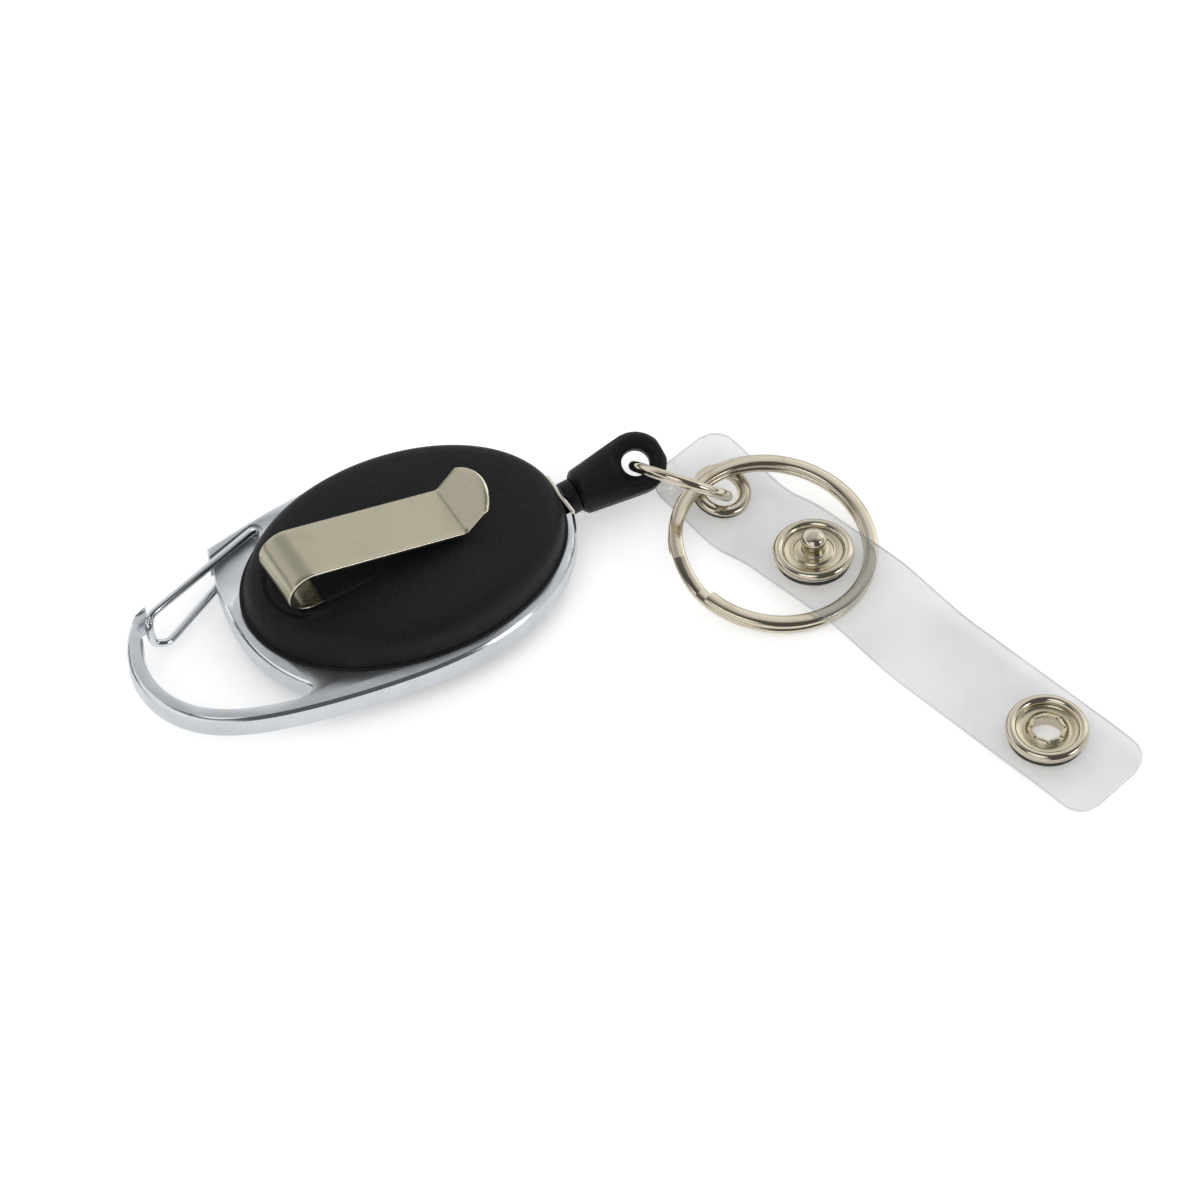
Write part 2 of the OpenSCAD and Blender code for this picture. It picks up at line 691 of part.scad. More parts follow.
function spiral(steps, aside) = [
    for (i = [0:steps])
        let(a = i * 360 * spring_turns / steps, r = spring_r0 + (spring_r1 - spring_r0) * i / steps + aside)
            [r * cos(a), r * sin(a)]
];
module power_spring() color([0.35, 0.38, 0.42]) {
    outer = spiral(24 * spring_turns, spring_t / 2);
    inner = spiral(24 * spring_turns, -spring_t / 2);
    points = concat(outer, [for (i = [len(inner) - 1:-1:0]) inner[i]]);
    translate([0, 0, groove_z0 + play]) linear_extrude(groove_h) polygon(points);
}
module wound_cord() color([0.08, 0.08, 0.08]) {
    disc_with_hole(groove_z0 + play, groove_h - 2 * play, wound_r, drum_r + play);
}

// Cord: from the drum's edge, through the guide, to the knot in the fitting
lead_r = wound_r - cord_d / 2;
lead_x = guide_x - over;
lead_turn = acos(lead_r / lead_x);
lead_from = [lead_r * cos(lead_turn), lead_r * sin(lead_turn), frame_mid];
lead_to = [lead_x, 0, frame_mid];
cord_split = 0.06;
lead_skip = sqrt(pow(wound_r + cord_d / 2 + play, 2) - lead_r * lead_r);
lead_bend = 0.8;
module cord_lead() color([0.08, 0.08, 0.08]) {
    start = lead_from + lead_skip * unit(lead_to - lead_from);
    route = [start, lead_to, [fit_x - cord_split, 0, frame_mid]];
    loft(tube_rings(bent(route, lead_bend, 4), cord_d / 2, 8, [0, 0, 1]));
}
module on_cord() {
    translate([fit_x, 0, frame_mid]) rotate([0, -fitting_lift, fitting_swing]) children();
}
module cord_end() color([0.08, 0.08, 0.08]) {
    on_cord() {
        rotate([0, 90, 0]) cylinder(d = cord_d, h = neck_run + knot_at, $fn = fine);
        translate([neck_run + knot_at, 0, 0]) sphere(d = knot_d, $fn = fine);
    }
}

// End fitting
module neck() color([0.1, 0.1, 0.11]) {
    on_cord() rotate([0, 90, 0]) disc_with_hole(neck_gap, neck_run - 2 * neck_gap, neck_d / 2, cord_bore / 2);
}
module end_fitting() color([0.1, 0.1, 0.11]) {
    on_cord() difference() {
        hull() {
            translate([neck_run, 0, 0]) rotate([0, 90, 0]) {
                cylinder(d = shoulder_d - 2 * edge_t, h = edge_t, $fn = fine);
                translate([0, 0, edge_t]) cylinder(d = shoulder_d, h = edge_t, $fn = fine);
            }
            translate([eye_run, 0, 0]) rotate([eye_roll, 0, 0]) {
                cylinder(d = paddle_w, h = paddle_t - 2 * edge_t, center = true, $fn = fine);
                cylinder(d = paddle_w - 2 * edge_t, h = paddle_t, center = true, $fn = fine);
            }
        }
        rotate([0, 90, 0]) cylinder(d = cord_bore, h = neck_run + knot_at, $fn = fine);
        translate([neck_run + knot_at, 0, 0]) sphere(d = knot_d + 2 * gap, $fn = fine);
        translate([tip_run - tip_flat, -paddle_w, -paddle_w]) cube(2 * paddle_w);
        translate([eye_run, 0, 0]) rotate([eye_roll, 0, 0]) {
            cylinder(d = eye_d, h = through, center = true, $fn = smooth);
            for (side = [0, 180]) rotate([side, 0, 0]) translate([0, 0, paddle_t / 2 - eye_flare])
                cylinder(d1 = eye_d, d2 = eye_d + 4 * eye_flare, h = 2 * eye_flare, $fn = smooth);
        }
    }
}

// Rings
module small_ring() color([0.72, 0.69, 0.62]) {
    translate([link_x, link_y, link_z]) rotate([0, link_tilt, link_turn])
        rotate_extrude($fn = smooth) translate([link_d / 2, 0]) circle(d = link_wire, $fn = fine);
}
function ease(u) = u * u * (3 - 2 * u);
function key_rise(a) = ease(max(0, min(1, (a - 360 + key_ramp_half) / (2 * key_ramp_half))));
module key_ring() color([0.72, 0.69, 0.62]) {
    from = key_ramp_half + 1;
    turns = [for (i = [0:key_steps]) from + (720 - 2 * from) * i / key_steps];
    c = key_corner_share;
    corners = [[-1, -c], [-1, c], [-c, 1], [c, 1], [1, c], [1, -c], [c, -1], [-c, -1]];
    mid_r = (key_ring_d - key_ring_w) / 2;
    rings = [
        for (a = turns)
            let(z = (0.5 - key_rise(a)) * (key_ring_h + play), b = a + key_ramp_dir)
                [
                    for (p = corners)
                        let(r = mid_r + p[0] * key_ring_w / 2)
                            [r * cos(b), r * sin(b), z + p[1] * key_ring_h / 2]
                ]
    ];
    translate([key_x, key_y, key_z])
        rotate(a = key_ring_tilt, v = [cos(key_lift_dir - 90), sin(key_lift_dir - 90), 0]) loft(rings);
}

// Strap
function film_line(s, a, b) = a[1] + (s - a[0]) / (b[0] - a[0]) * (b[1] - a[1]);
function film_span(s, i) = i + 2 >= len(film_knots) || s < film_knots[i + 1][0] ? i : film_span(s, i + 1);
function film_raw(s) =
    let(q = max(0, min(strap_len, s)), i = film_span(q, 0)) film_line(q, film_knots[i], film_knots[i + 1]);
function film_z(s) = (film_raw(s - film_step) + film_raw(s + film_step) + film_raw(s)) / 3;
function film_inset(e) = e >= strap_corner ? 0 : strap_corner - sqrt(e * (2 * strap_corner - e));
function film_half(s) = strap_w / 2 - film_inset(min(s, strap_len - s));
module on_strap(s) {
    slope = atan((film_z(s + film_step) - film_z(s - film_step)) / (2 * film_step));
    translate([strap_x, strap_y, 0]) rotate([0, 0, strap_heading])
        translate([s - eyelet_at, 0, film_z(s)]) rotate([0, -slope, 0]) children();
}
module film(s0, s1) {
    first = s0 == 0 ? [for (c = film_corner_shares) c * strap_corner] : [s0];
    last = s1 == strap_len ? [for (i = [4:-1:0]) s1 - film_corner_shares[i] * strap_corner] : [s1];
    steps = floor((s1 - s0 - 2 * strap_corner) / film_step);
    mid = [for (i = [1:steps]) s0 + strap_corner + (s1 - s0 - 2 * strap_corner) * i / (steps + 1)];
    t = strap_t / 2;
    rings = [
        for (s = concat(first, mid, last))
            let(h = film_half(s), z = film_z(s), x = s - eyelet_at)
                [[x, -h, z - t], [x, h, z - t], [x, h, z + t], [x, -h, z + t]]
    ];
    translate([strap_x, strap_y, 0]) rotate([0, 0, strap_heading]) loft(rings);
}
module film_hole(s, r) {
    on_strap(s) cylinder(r = r + play, h = through, center = true, $fn = smooth);
}
module strap_tab_part() color([0.85, 0.86, 0.88, 0.6]) {
    difference() {
        film(0, fold_at);
        film_hole(eyelet_at, eyelet_hole_d / 2 + plate_t);
        film_hole(stud_at, stud_neck_r);
    }
}
module strap_tail_part() color([0.85, 0.86, 0.88, 0.6]) {
    difference() {
        film(fold_at, strap_len);
        film_hole(socket_at, socket_hole_d / 2 + plate_t);
    }
}
module eyelet() color([0.72, 0.69, 0.62]) {
    hole_r = eyelet_hole_d / 2;
    on_strap(eyelet_at) rotate_extrude($fn = smooth) polygon([
        [hole_r, -film_top],
        [hole_r, film_top + eyelet_h / 2],
        [hole_r + plate_t, film_top + eyelet_h],
        [eyelet_r - plate_t, film_top + eyelet_h],
        [eyelet_r, film_top + eyelet_h / 3],
        [eyelet_r, film_top],
        [hole_r + plate_t, film_top],
        [hole_r + plate_t, -film_top]
    ]);
}
module eyelet_back() color([0.72, 0.69, 0.62]) {
    hole_r = eyelet_hole_d / 2;
    on_strap(eyelet_at) rotate_extrude($fn = smooth) polygon([
        [hole_r, -film_top],
        [eyelet_r, -film_top],
        [eyelet_r, -film_top - eyelet_h / 3],
        [eyelet_r - plate_t, -film_top - eyelet_h],
        [hole_r + plate_t, -film_top - eyelet_h],
        [hole_r, -film_top - eyelet_h / 2]
    ]);
}
module snap_cup(inner_r) {
    rotate_extrude($fn = smooth)
        translate([snap_r - stud_rim_h / 2, stud_rim_h / 2]) circle(d = stud_rim_h, $fn = fine);
    cylinder(r = snap_r - stud_rim_h / 2, h = dish_h, $fn = smooth);
    cylinder(r = inner_r, h = inner_rim_h, $fn = smooth);
}
module snap_cap(neck_r) {
    translate([0, 0, -film_top - cap_h])
        cylinder(r1 = snap_r - cap_h, r2 = snap_r - gap, h = cap_h, $fn = smooth);
    translate([0, 0, -film_top - cap_h / 2])
        cylinder(r = neck_r, h = 2 * film_top + cap_h / 2 - play, $fn = smooth);
}
module snap_stud() color([0.72, 0.69, 0.62]) {
    on_strap(stud_at) translate([0, 0, film_top]) {
        snap_cup(stud_head_r + plate_t);
        cylinder(r = stud_neck_r, h = stud_neck_h, $fn = smooth);
        translate([0, 0, stud_neck_h])
            cylinder(r1 = stud_neck_r, r2 = stud_head_r, h = stud_cone_h, $fn = smooth);
        translate([0, 0, stud_h - stud_dome_h])
            cylinder(r1 = stud_head_r, r2 = stud_head_r / 2, h = stud_dome_h, $fn = smooth);
    }
}
module stud_back() color([0.72, 0.69, 0.62]) {
    on_strap(stud_at) snap_cap(stud_neck_r);
}
module snap_socket() color([0.72, 0.69, 0.62]) {
    on_strap(socket_at) difference() {
        translate([0, 0, film_top]) snap_cup(socket_hole_d / 2 + 2 * plate_t);
        cylinder(d = socket_hole_d, h = through, center = true, $fn = smooth);
    }
}
module socket_back() color([0.72, 0.69, 0.62]) {
    on_strap(socket_at) difference() {
        snap_cap(socket_hole_d / 2 + plate_t);
        cylinder(d = socket_hole_d, h = through, center = true, $fn = smooth);
    }
}

frame();
exit_guide();
front_shell();
rear_shell();
center_post();
clip_base();
clip_blade();
gate();
spool();
spool_cap();
power_spring();
wound_cord();
cord_lead();
cord_end();
neck();
end_fitting();
small_ring();
key_ring();
strap_tab_part();
strap_tail_part();
eyelet();
eyelet_back();
snap_stud();
stud_back();
snap_socket();
socket_back();
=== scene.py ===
import math

import bmesh
import bpy
from bpy.props import FloatProperty, FloatVectorProperty, IntProperty, PointerProperty
from mathutils import Matrix, Vector


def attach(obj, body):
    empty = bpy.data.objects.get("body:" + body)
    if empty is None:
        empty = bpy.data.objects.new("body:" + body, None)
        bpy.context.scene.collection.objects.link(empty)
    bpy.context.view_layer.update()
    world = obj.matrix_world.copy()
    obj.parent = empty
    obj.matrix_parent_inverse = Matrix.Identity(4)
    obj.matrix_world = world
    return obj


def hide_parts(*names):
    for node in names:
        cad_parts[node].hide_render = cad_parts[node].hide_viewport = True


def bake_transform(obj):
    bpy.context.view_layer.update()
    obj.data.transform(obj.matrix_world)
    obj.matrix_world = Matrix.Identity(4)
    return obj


bl_info = {
    "name": "Belt key clip",
    "version": (1, 0, 0),
    "blender": (4, 5, 0),
    "location": "3D View > Sidebar > Belt Clip",
    "description": "Dresses the retractable belt key clip: frame, reel case, clip, rings, strap and snap",
    "category": "Object",
}

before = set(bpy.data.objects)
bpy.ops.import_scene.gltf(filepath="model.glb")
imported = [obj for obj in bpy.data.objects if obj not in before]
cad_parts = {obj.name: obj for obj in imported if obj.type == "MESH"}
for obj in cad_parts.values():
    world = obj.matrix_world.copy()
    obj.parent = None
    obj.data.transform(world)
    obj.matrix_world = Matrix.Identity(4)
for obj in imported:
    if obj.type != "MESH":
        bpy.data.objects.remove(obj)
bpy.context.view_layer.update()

MM = 0.001
UP = Vector((0, 0, 1))
FULL_TURN = 2 * math.pi

# the hook's nose, which is blunted: x from and to, the y that it starts at (mm), and the share that is kept
NOSE_FROM, NOSE_TO, NOSE_Y, NOSE_SHARE = -33.4, -32.4, 10.2, 0.2
# how steep a face's normal is on the frame's sides and on its flat faces
SIDE_UNDER, FLAT_OVER = 0.3, 0.99

# the clip's middle line from the tab in its pocket to the lip, in mm and degrees
TAB_END, U_AT, U_HEIGHT, U_RADIUS = -9.2017, -15.4017, 14.35, 3.0
BLADE_RUN, BLADE_SLOPE, FOLD_RADIUS = 22.0, 12.7, 1.0
LIP_RUN, LIP_RISE, LIP_ROUND = 5.7, 44.0, 6.8
CLIP_STEPS = 12

# the small ring: middle diameter and centre in mm, turn and tilt in degrees
LINK_DIAMETER, LINK_AT, LINK_TURN, LINK_TILT = 13.1, (38.5072, -5.7, 6.0118), 36.6, 51.3
# the key ring: outer diameter, width and centre in mm, tilt and the direction of its axis in degrees
KEY_DIAMETER, KEY_WIDTH = 28.0, 1.9
KEY_AT, KEY_TILT, KEY_AXIS = (45.0072, -18.85, 2.9089), 7.5, 23.5
# where its coil starts, and the degrees of each stretch with the share of a pitch that it climbs
COIL_START = 198
COIL_STRETCHES = ((323, 0), (6, 0.06), (24, 0.88), (6, 0.06), (323, 0))
# how square the wire's section is (1 is round), and the gap between the turns in metres
COIL_SQUARE, COIL_GAP = 0.72, 0.00002

# the strap: where its eyelet lies, its direction, size and the places along it, in mm and degrees
STRAP_AT = (44.1072, -7.2)
STRAP_HEADING = -74.7
STRAP_LENGTH, STRAP_WIDTH, STRAP_CORNER = 76.8, 14.0, 3.4
EYELET_AT, STUD_AT, SOCKET_AT = 7.7, 24.4, 64.9
# radii of the holes that the film has under the eyelet, the stud and the socket
HOLES = ((EYELET_AT, 3.0), (STUD_AT, 2.0), (SOCKET_AT, 2.6))
# heights of the film's middle along the strap, and the steps over which they are evened out
KNOTS = (
    (0, 3.75), (2.85, 3.309), (12.55, 0.891), (14.14, 1.0), (17.92, 2.394), (31.7, 3.152), (33.6, 3.35),
    (44.65, 1.35), (71.38, 1.35), (76.8, 0.8),
)
EVEN_STEPS = (-2.0, -1.2, -0.4, 0.4, 1.2, 2.0)
LEAN_REACH = 0.8

# the fasteners: height of the film's top face over its middle, their rims and the edge of the dish, in mm
TOP = 0.27
BARREL_AT, BARREL_RADII = 3.22, (0.82, 0.5)
RIM_AT, RIM_RADIUS = 4.65, 0.75
DISH_RADIUS, DISH_FROM, DISH_TO = 3.85, 0.1, 1.1
# the socket's eight-sided collar: its reach, how high it starts, its widening and the dips at its corners
COLLAR_REACH, COLLAR_FROM, COLLAR_WIDER, COLLAR_DIP = 2.65, 0.4, 1.03, 0.14
COLLAR_HALF_SIDE = math.pi / 8

# the camera, solved from the photograph: degrees round and up, distance in metres, target and lens in mm
CAMERA_TURN, CAMERA_RISE, CAMERA_DISTANCE = -30.24528800920264, 51, 0.532
CAMERA_TARGET, CAMERA_LENS, CAMERA_SENSOR = (21.492, -13.712, 0), 121.2, 36
# each lamp's place and diameter in metres; all face one point near the middle of the object, in mm
LAMPS = {
    "key": ((-0.35, -0.28, 0.75), 0.55),
    "fill": ((0.55, 0.15, 0.60), 0.6),
    "side": ((0.42, -0.55, 0.34), 0.25),
}
LAMPS_FACE = (15, -15, 0)
FLOOR_HALF, FLOOR_DROP, FLOOR_GLOW = 3.0, 0.0001, 0.30


def size(name, description, default):
    """A length that can be set in the panel, in metres."""
    return FloatProperty(name=name, description=description, default=default, unit="LENGTH")


def colour(name, description, default):
    """A linear colour that can be set in the panel."""
    return FloatVectorProperty(name=name, description=description, default=default, subtype="COLOR")


def amount(name, description, default):
    """A plain number that can be set in the panel."""
    return FloatProperty(name=name, description=description, default=default)


class CaseSettings(bpy.types.PropertyGroup):
    """Sizes and colours of the frame, the shells and the end fitting"""

    frame_bevel: size("Frame bevel", "Rounding of the die-cast frame's edges", 0.00016)
    shell_bevel: size("Shell bevel", "Rounding of the shells' edges", 0.0001)
    guide_bevel: size("Guide bevel", "Rounding of the exit guide's edges", 0.00012)
    neck_bevel: size("Neck bevel", "Rounding of the neck's edges", 0.0001)
    rubber_voxel: size("Fitting rounding", "Cell size that rounds off the moulded end fitting", 0.00017)
    chrome: colour("Chrome", "Colour of the plated frame", (0.70, 0.73, 0.765))
    plastic: colour("Case plastic", "Colour of the black case", (0.0055, 0.0062, 0.0068))
    rubber: colour("Fitting plastic", "Colour of the soft end fitting", (0.0055, 0.0058, 0.006))


class ClipSettings(bpy.types.PropertyGroup):
    """Sizes and colours of the belt clip"""

    width: size("Width", "Width of the spring clip", 0.0085)
    thickness: size("Thickness", "Thickness of the clip's strip", 0.0006)
    edge_bevel: size("Edge", "Rounding of the strip's sheared edges", 0.00012)
    satin: colour("Satin nickel", "Colour of the clip's faces", (0.42, 0.395, 0.30))
    # the sheared edges' colour is much lighter than the satin faces: a painted highlight along the clip's
    # edges
    cut_edge_highlight: colour("Sheared edge", "Colour of the clip's bright edges", (0.84, 0.79, 0.66))


class RingSettings(bpy.types.PropertyGroup):
    """Sizes and colours of the two rings and of the snap"""

    link_wire: size("Small ring wire", "Diameter of the small ring's wire", 0.0015)
    coil_width: size("Coil width", "Width of the key ring's flattened wire", 0.0019)
    coil_height: size("Coil height", "Height of the key ring's flattened wire", 0.00098)
    coil_steps: IntProperty(
        name="Coil steps", description="Steps in each full turn", default=128, min=32, max=256)
    nickel: colour("Nickel", "Colour of the rings and snaps", (0.60, 0.55, 0.44))
    dish: colour("Dish", "Colour inside the rims of the snap", (0.60, 0.545, 0.41))


class StrapSettings(bpy.types.PropertyGroup):
    """Sizes and colours of the clear strap"""

    thickness: size("Film thickness", "Thickness of the clear strap", 0.0005)
    cell: size("Cell", "Size of the strap's mesh cells", 0.0005)
    film: colour("Film", "Tint of the clear film", (0.24, 0.25, 0.27))
    haze: amount("Haze", "How much of what lies behind the film it hides", 0.175)
    rim: colour("Edge", "Tint of the film's cut edge", (0.30, 0.36, 0.44))
    rim_haze: amount("Edge haze", "How much the cut edge hides", 0.45)


class StageSettings(bpy.types.PropertyGroup):
    """Colour of the floor and power of the lights"""

    floor: colour("Floor", "Colour of the floor", (0.90, 0.90, 0.90))
    key_power: amount("Key light", "Power of the key light in watts", 1.1)
    fill_power: amount("Fill light", "Power of the fill light in watts", 0.35)
    side_power: amount("Side light", "Power of the low side light in watts", 0.45)


class Wire:
    """A socket with arithmetic: an expression on values adds its Math nodes."""

    def __init__(self, nodes, socket):
        self.nodes = nodes
        self.socket = socket

    def math(self, operation, *values):
        return self.nodes.node("ShaderNodeMath", {"operation": operation}, dict(enumerate(values)))

    def __add__(self, other):
        return self.math("ADD", self, other)

    def __sub__(self, other):
        return self.math("SUBTRACT", self, other)

    def __rsub__(self, other):
        return self.math("SUBTRACT", other, self)

    def __mul__(self, other):
        return self.math("MULTIPLY", self, other)

    def within(self, low, high, to_low=0.0, to_high=1.0):
        return self.nodes.node(
            "ShaderNodeMapRange", {"interpolation_type": "SMOOTHSTEP"},
            {"Value": self, "From Min": low, "From Max": high, "To Min": to_low, "To Max": to_high})


class Finish:
    """A material in the making: one Principled shader and the nodes that feed it."""

    def __init__(self, name, **constants):
        self.material = bpy.data.materials.new(name)
        self.material.use_nodes = True
        self.tree = self.material.node_tree
        self.tree.nodes.clear()
        self.output = self.tree.nodes.new("ShaderNodeOutputMaterial")
        self.shader = self.tree.nodes.new("ShaderNodeBsdfPrincipled")
        self.tree.links.new(self.shader.outputs["BSDF"], self.output.inputs["Surface"])
        for socket, value in constants.items():
            self.shader.inputs[socket.replace("_", " ")].default_value = value

    def node(self, kind, settings=None, inputs=None, output=0):
        made = self.tree.nodes.new(kind)
        for key, value in (settings or {}).items():
            setattr(made, key, value)
        for key, value in (inputs or {}).items():
            self.put(made.inputs[key], value)
        return Wire(self, made.outputs[output])

    def put(self, socket, value):
        if isinstance(value, Wire):
            self.tree.links.new(value.socket, socket)
        elif socket.type == "RGBA" and len(value) == 3:
            socket.default_value = (*value, 1)
        else:
            socket.default_value = value

    def feed(self, socket, value):
        self.put(self.shader.inputs[socket], value)

    def place(self, scale=(1, 1, 1), turn=(0, 0, 0)):
        """Object coordinates, scaled and turned."""
        here = self.node("ShaderNodeTexCoord", output=3)
        return self.node(
            "ShaderNodeMapping", {},
            {"Vector": here, "Scale": scale, "Rotation": [math.radians(a) for a in turn]})

    def axes(self, where):
        """The x, y and z of a place."""
        return [self.node("ShaderNodeSeparateXYZ", {}, {0: where}, output=i) for i in range(3)]

    def noise(self, where, scale, detail=3.0, rough=0.5):
        return self.node(
            "ShaderNodeTexNoise", {}, {"Vector": where, "Scale": scale, "Detail": detail, "Roughness": rough})

    def blend(self, amount, first, second):
        made = self.tree.nodes.new("ShaderNodeMix")
        made.data_type = "RGBA"
        self.put(made.inputs[0], amount)
        self.put(made.inputs[6], first)
        self.put(made.inputs[7], second)
        return Wire(self, made.outputs[2])

    def bump(self, height, distance, strength):
        self.feed("Normal", self.node(
            "ShaderNodeBump", {}, {"Height": height, "Distance": distance, "Strength": strength}))

    def done(self, slot_name):
        """The finished material, with the name of its slot."""
        self.material["slot"] = slot_name
        return self.material


def shade(colour, *shares):
    """The colour times one share, or times one share for each channel."""
    by_channel = shares if len(shares) == 3 else shares * 3
    return tuple(c * share for c, share in zip(colour, by_channel))


def chrome_finish(name, colour, rough, slot_name, pitting=0.3):
    """Bright plating with faint polishing haze, pin-point specks and a cast skin's fine pitting."""
    finish = Finish(name, Metallic=1.0)
    where = finish.place()
    cloud = finish.noise(where, scale=140.0, detail=4.0)
    skin = finish.noise(where, scale=1900.0, rough=0.6)
    speck = finish.noise(where, scale=2600.0, detail=2.0).within(0.66, 0.78)
    hazy = cloud.within(0.35, 0.7) * 0.6 + speck * 0.4
    finish.feed("Base Color", finish.blend(hazy, colour, shade(colour, 0.84)))
    finish.feed("Roughness", cloud.within(0.3, 0.75, rough * 0.8, rough * 1.25) + speck * 0.15)
    finish.bump(skin + speck * 0.5, distance=0.00002, strength=pitting)
    return finish.done(slot_name)


def nickel_finish(name, colour, rough, slot_name, tarnish, grain_turn=0):
    """Warm nickel with drawn grain, fine specks, dull patches and a brownish tarnish in places."""
    finish = Finish(name, Metallic=1.0)
    where = finish.place()
    along = finish.place(scale=(1, 14, 14), turn=(0, 0, grain_turn))
    grain = finish.noise(along, scale=900.0)
    speck = finish.noise(where, scale=3800.0, detail=2.0)
    stain = finish.noise(where, scale=220.0, detail=4.0).within(0.52, 0.78) * tarnish
    brown = shade(colour, 0.80, 0.72, 0.60)
    finish.feed("Base Color", finish.blend(stain + speck.within(0.55, 0.75) * 0.2, colour, brown))
    finish.feed("Roughness", grain.within(0.25, 0.8, rough * 0.75, rough * 1.35) + stain * 0.1)
    finish.bump(grain * 0.7 + speck * 0.6, distance=0.000014, strength=0.4)
    return finish.done(slot_name)


def black_finish(name, colour, rough, pore, slot_name, low=0.0, high=0.0, groove=None):
    """Moulded black plastic: a fine eroded texture, soft sheen, and dust and a painted sheen that lighten the
    low parts.
    """
    finish = Finish(name, Metallic=0.0, IOR=1.48, Specular_IOR_Level=0.2)
    where = finish.place()
    fine = finish.noise(where, scale=pore, rough=0.6)
    grains = finish.noise(where, scale=pore * 0.8, detail=2.0).within(0.56, 0.7)
    dust = finish.noise(where, scale=180.0, detail=5.0, rough=0.65).within(0.5, 0.8)
    rubbed = finish.place(scale=(1, 6, 1), turn=(0, 0, 31))
    scuff = finish.noise(rubbed, scale=260.0, detail=4.0).within(0.62, 0.78)
    height = finish.axes(where)[2]
    # below the given height the colour turns lighter and browner: dust, and a painted sheen on the lower
    # rounding
    dust_and_sheen = dust * (1.0 - height.within(low, high)) if high > low else dust * 0.25
    dust_and_sheen_tint = tuple(c + extra for c, extra in zip(colour, (0.034, 0.026, 0.018)))
    finish.feed("Base Color", finish.blend(dust_and_sheen * 0.8 + scuff * 0.1 + grains * 0.35, colour, dust_and_sheen_tint))
    finish.feed("Roughness", fine.within(0.3, 0.7, rough - 0.06, rough + 0.08) - scuff * 0.05)
    relief, depth = fine + grains * 0.6, 0.00004
    if groove:
        relief, depth = relief * 0.1 + groove(finish, where), 0.0004
    finish.bump(relief, distance=depth, strength=0.7)
    return finish.done(slot_name)


def plain_finish(name, colour, metal, rough, slot_name):
    """A finish for the pieces inside the case: colour and gloss vary a little."""
    finish = Finish(name, Metallic=metal)
    cloud = finish.noise(finish.place(), scale=900.0)
    finish.feed("Base Color", finish.blend(cloud, shade(colour, 0.85), colour))
    finish.feed("Roughness", cloud.within(0.3, 0.7, rough - 0.08, rough + 0.1))
    finish.bump(cloud, distance=0.00001, strength=0.3)
    return finish.done(slot_name)


def braid_finish(name, slot_name):
    """Black braided cord: two crossing sets of fine strands."""
    finish = Finish(name, Metallic=0.0)
    left, right = (finish.node(
        "ShaderNodeTexWave", {"bands_direction": "DIAGONAL"},
        {"Vector": finish.place(scale=(side, 1, 1)), "Scale": 900.0}) for side in (1, -1))
    strands = left * right
    finish.feed("Base Color", finish.blend(strands, (0.008, 0.008, 0.008), (0.03, 0.03, 0.03)))
    finish.feed("Roughness", 0.75 - strands * 0.2)
    finish.bump(strands, distance=0.00004, strength=0.7)
    return finish.done(slot_name)


def film_finish(name, colour, haze, slot_name):
    """Clear soft vinyl: faint haze, fine scratches, and creases near the tab with painted white glints."""
    finish = Finish(name, Metallic=0.0, IOR=1.5)
    where = finish.place()
    cloud = finish.noise(where, scale=90.0, detail=4.0)
    rubbed = finish.place(scale=(1, 30, 1), turn=(0, 0, 62))
    scratch = finish.noise(rubbed, scale=160.0).within(0.74, 0.8)
    crease_and_glint_place = finish.place(scale=(1, 3, 1), turn=(0, 0, -30))
    crease_and_glint = finish.noise(crease_and_glint_place, scale=520.0, rough=0.6).within(0.56, 0.62)
    x, y, _ = finish.axes(where)
    # near the tab the creases whiten the film and make it more opaque: painted glints; their bump is real
    # relief
    crease_and_glint = crease_and_glint * y.within(-0.0085, -0.0045) * (1.0 - x.within(0.0385, 0.0415))
    finish.feed("Base Color", finish.blend(scratch * 0.3 + crease_and_glint, colour, (1.0, 0.99, 0.95)))
    finish.feed("Roughness", cloud.within(0.3, 0.7, 0.10, 0.2) + scratch * 0.2)
    finish.feed("Alpha", cloud.within(0.3, 0.75, haze * 0.85, haze * 1.15) + scratch * 0.04 + crease_and_glint * 0.45)
    finish.bump(cloud * 0.6 + scratch * 0.2 + crease_and_glint * 0.4, distance=0.00003, strength=0.4)
    return finish.done(slot_name)


def mm(*values):
    return Vector(values) * MM


def arc(centre, radii, first, last):
    """Points of an arc in a profile, 15 degrees apart, from the first angle to the last."""
    step = 15 if last > first else -15
    turns = [math.radians(a) for a in range(first, last + step, step)]
    return [(centre[0] + radii[0] * math.cos(a), centre[1] + radii[1] * math.sin(a)) for a in turns]


def shown(bm, name, material, body, replaces, smooth_under, recalc=True):
    """Turns the bmesh into a finished object; with no body, it is left without a parent."""
    if recalc:
        bmesh.ops.recalc_face_normals(bm, faces=bm.faces[:])
    mesh = bpy.data.meshes.new(name)
    bm.to_mesh(mesh)
    bm.free()
    made = bpy.data.objects.new(name, mesh)
    bpy.context.scene.collection.objects.link(made)
    mesh.materials.append(material)
    mesh.shade_smooth()
    mesh.set_sharp_from_angle(angle=math.radians(smooth_under))
    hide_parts(*replaces)
    if body:
        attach(made, body)
    return made


def modify(made, name, kind, **settings):
    """Adds a modifier with its settings."""
    added = made.modifiers.new(name, kind)
    for key, value in settings.items():
        setattr(added, key, value)


def merged(*nodes):
    """A copy of CAD nodes' meshes with their loose triangles joined into faces."""
    bm = bmesh.new()
    for node in nodes:
        bm.from_mesh(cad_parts[node].data)
    bmesh.ops.remove_doubles(bm, verts=bm.verts[:], dist=2e-6)
    bmesh.ops.dissolve_limit(bm, angle_limit=math.radians(0.6), verts=bm.verts[:], edges=bm.edges[:])
    return bm


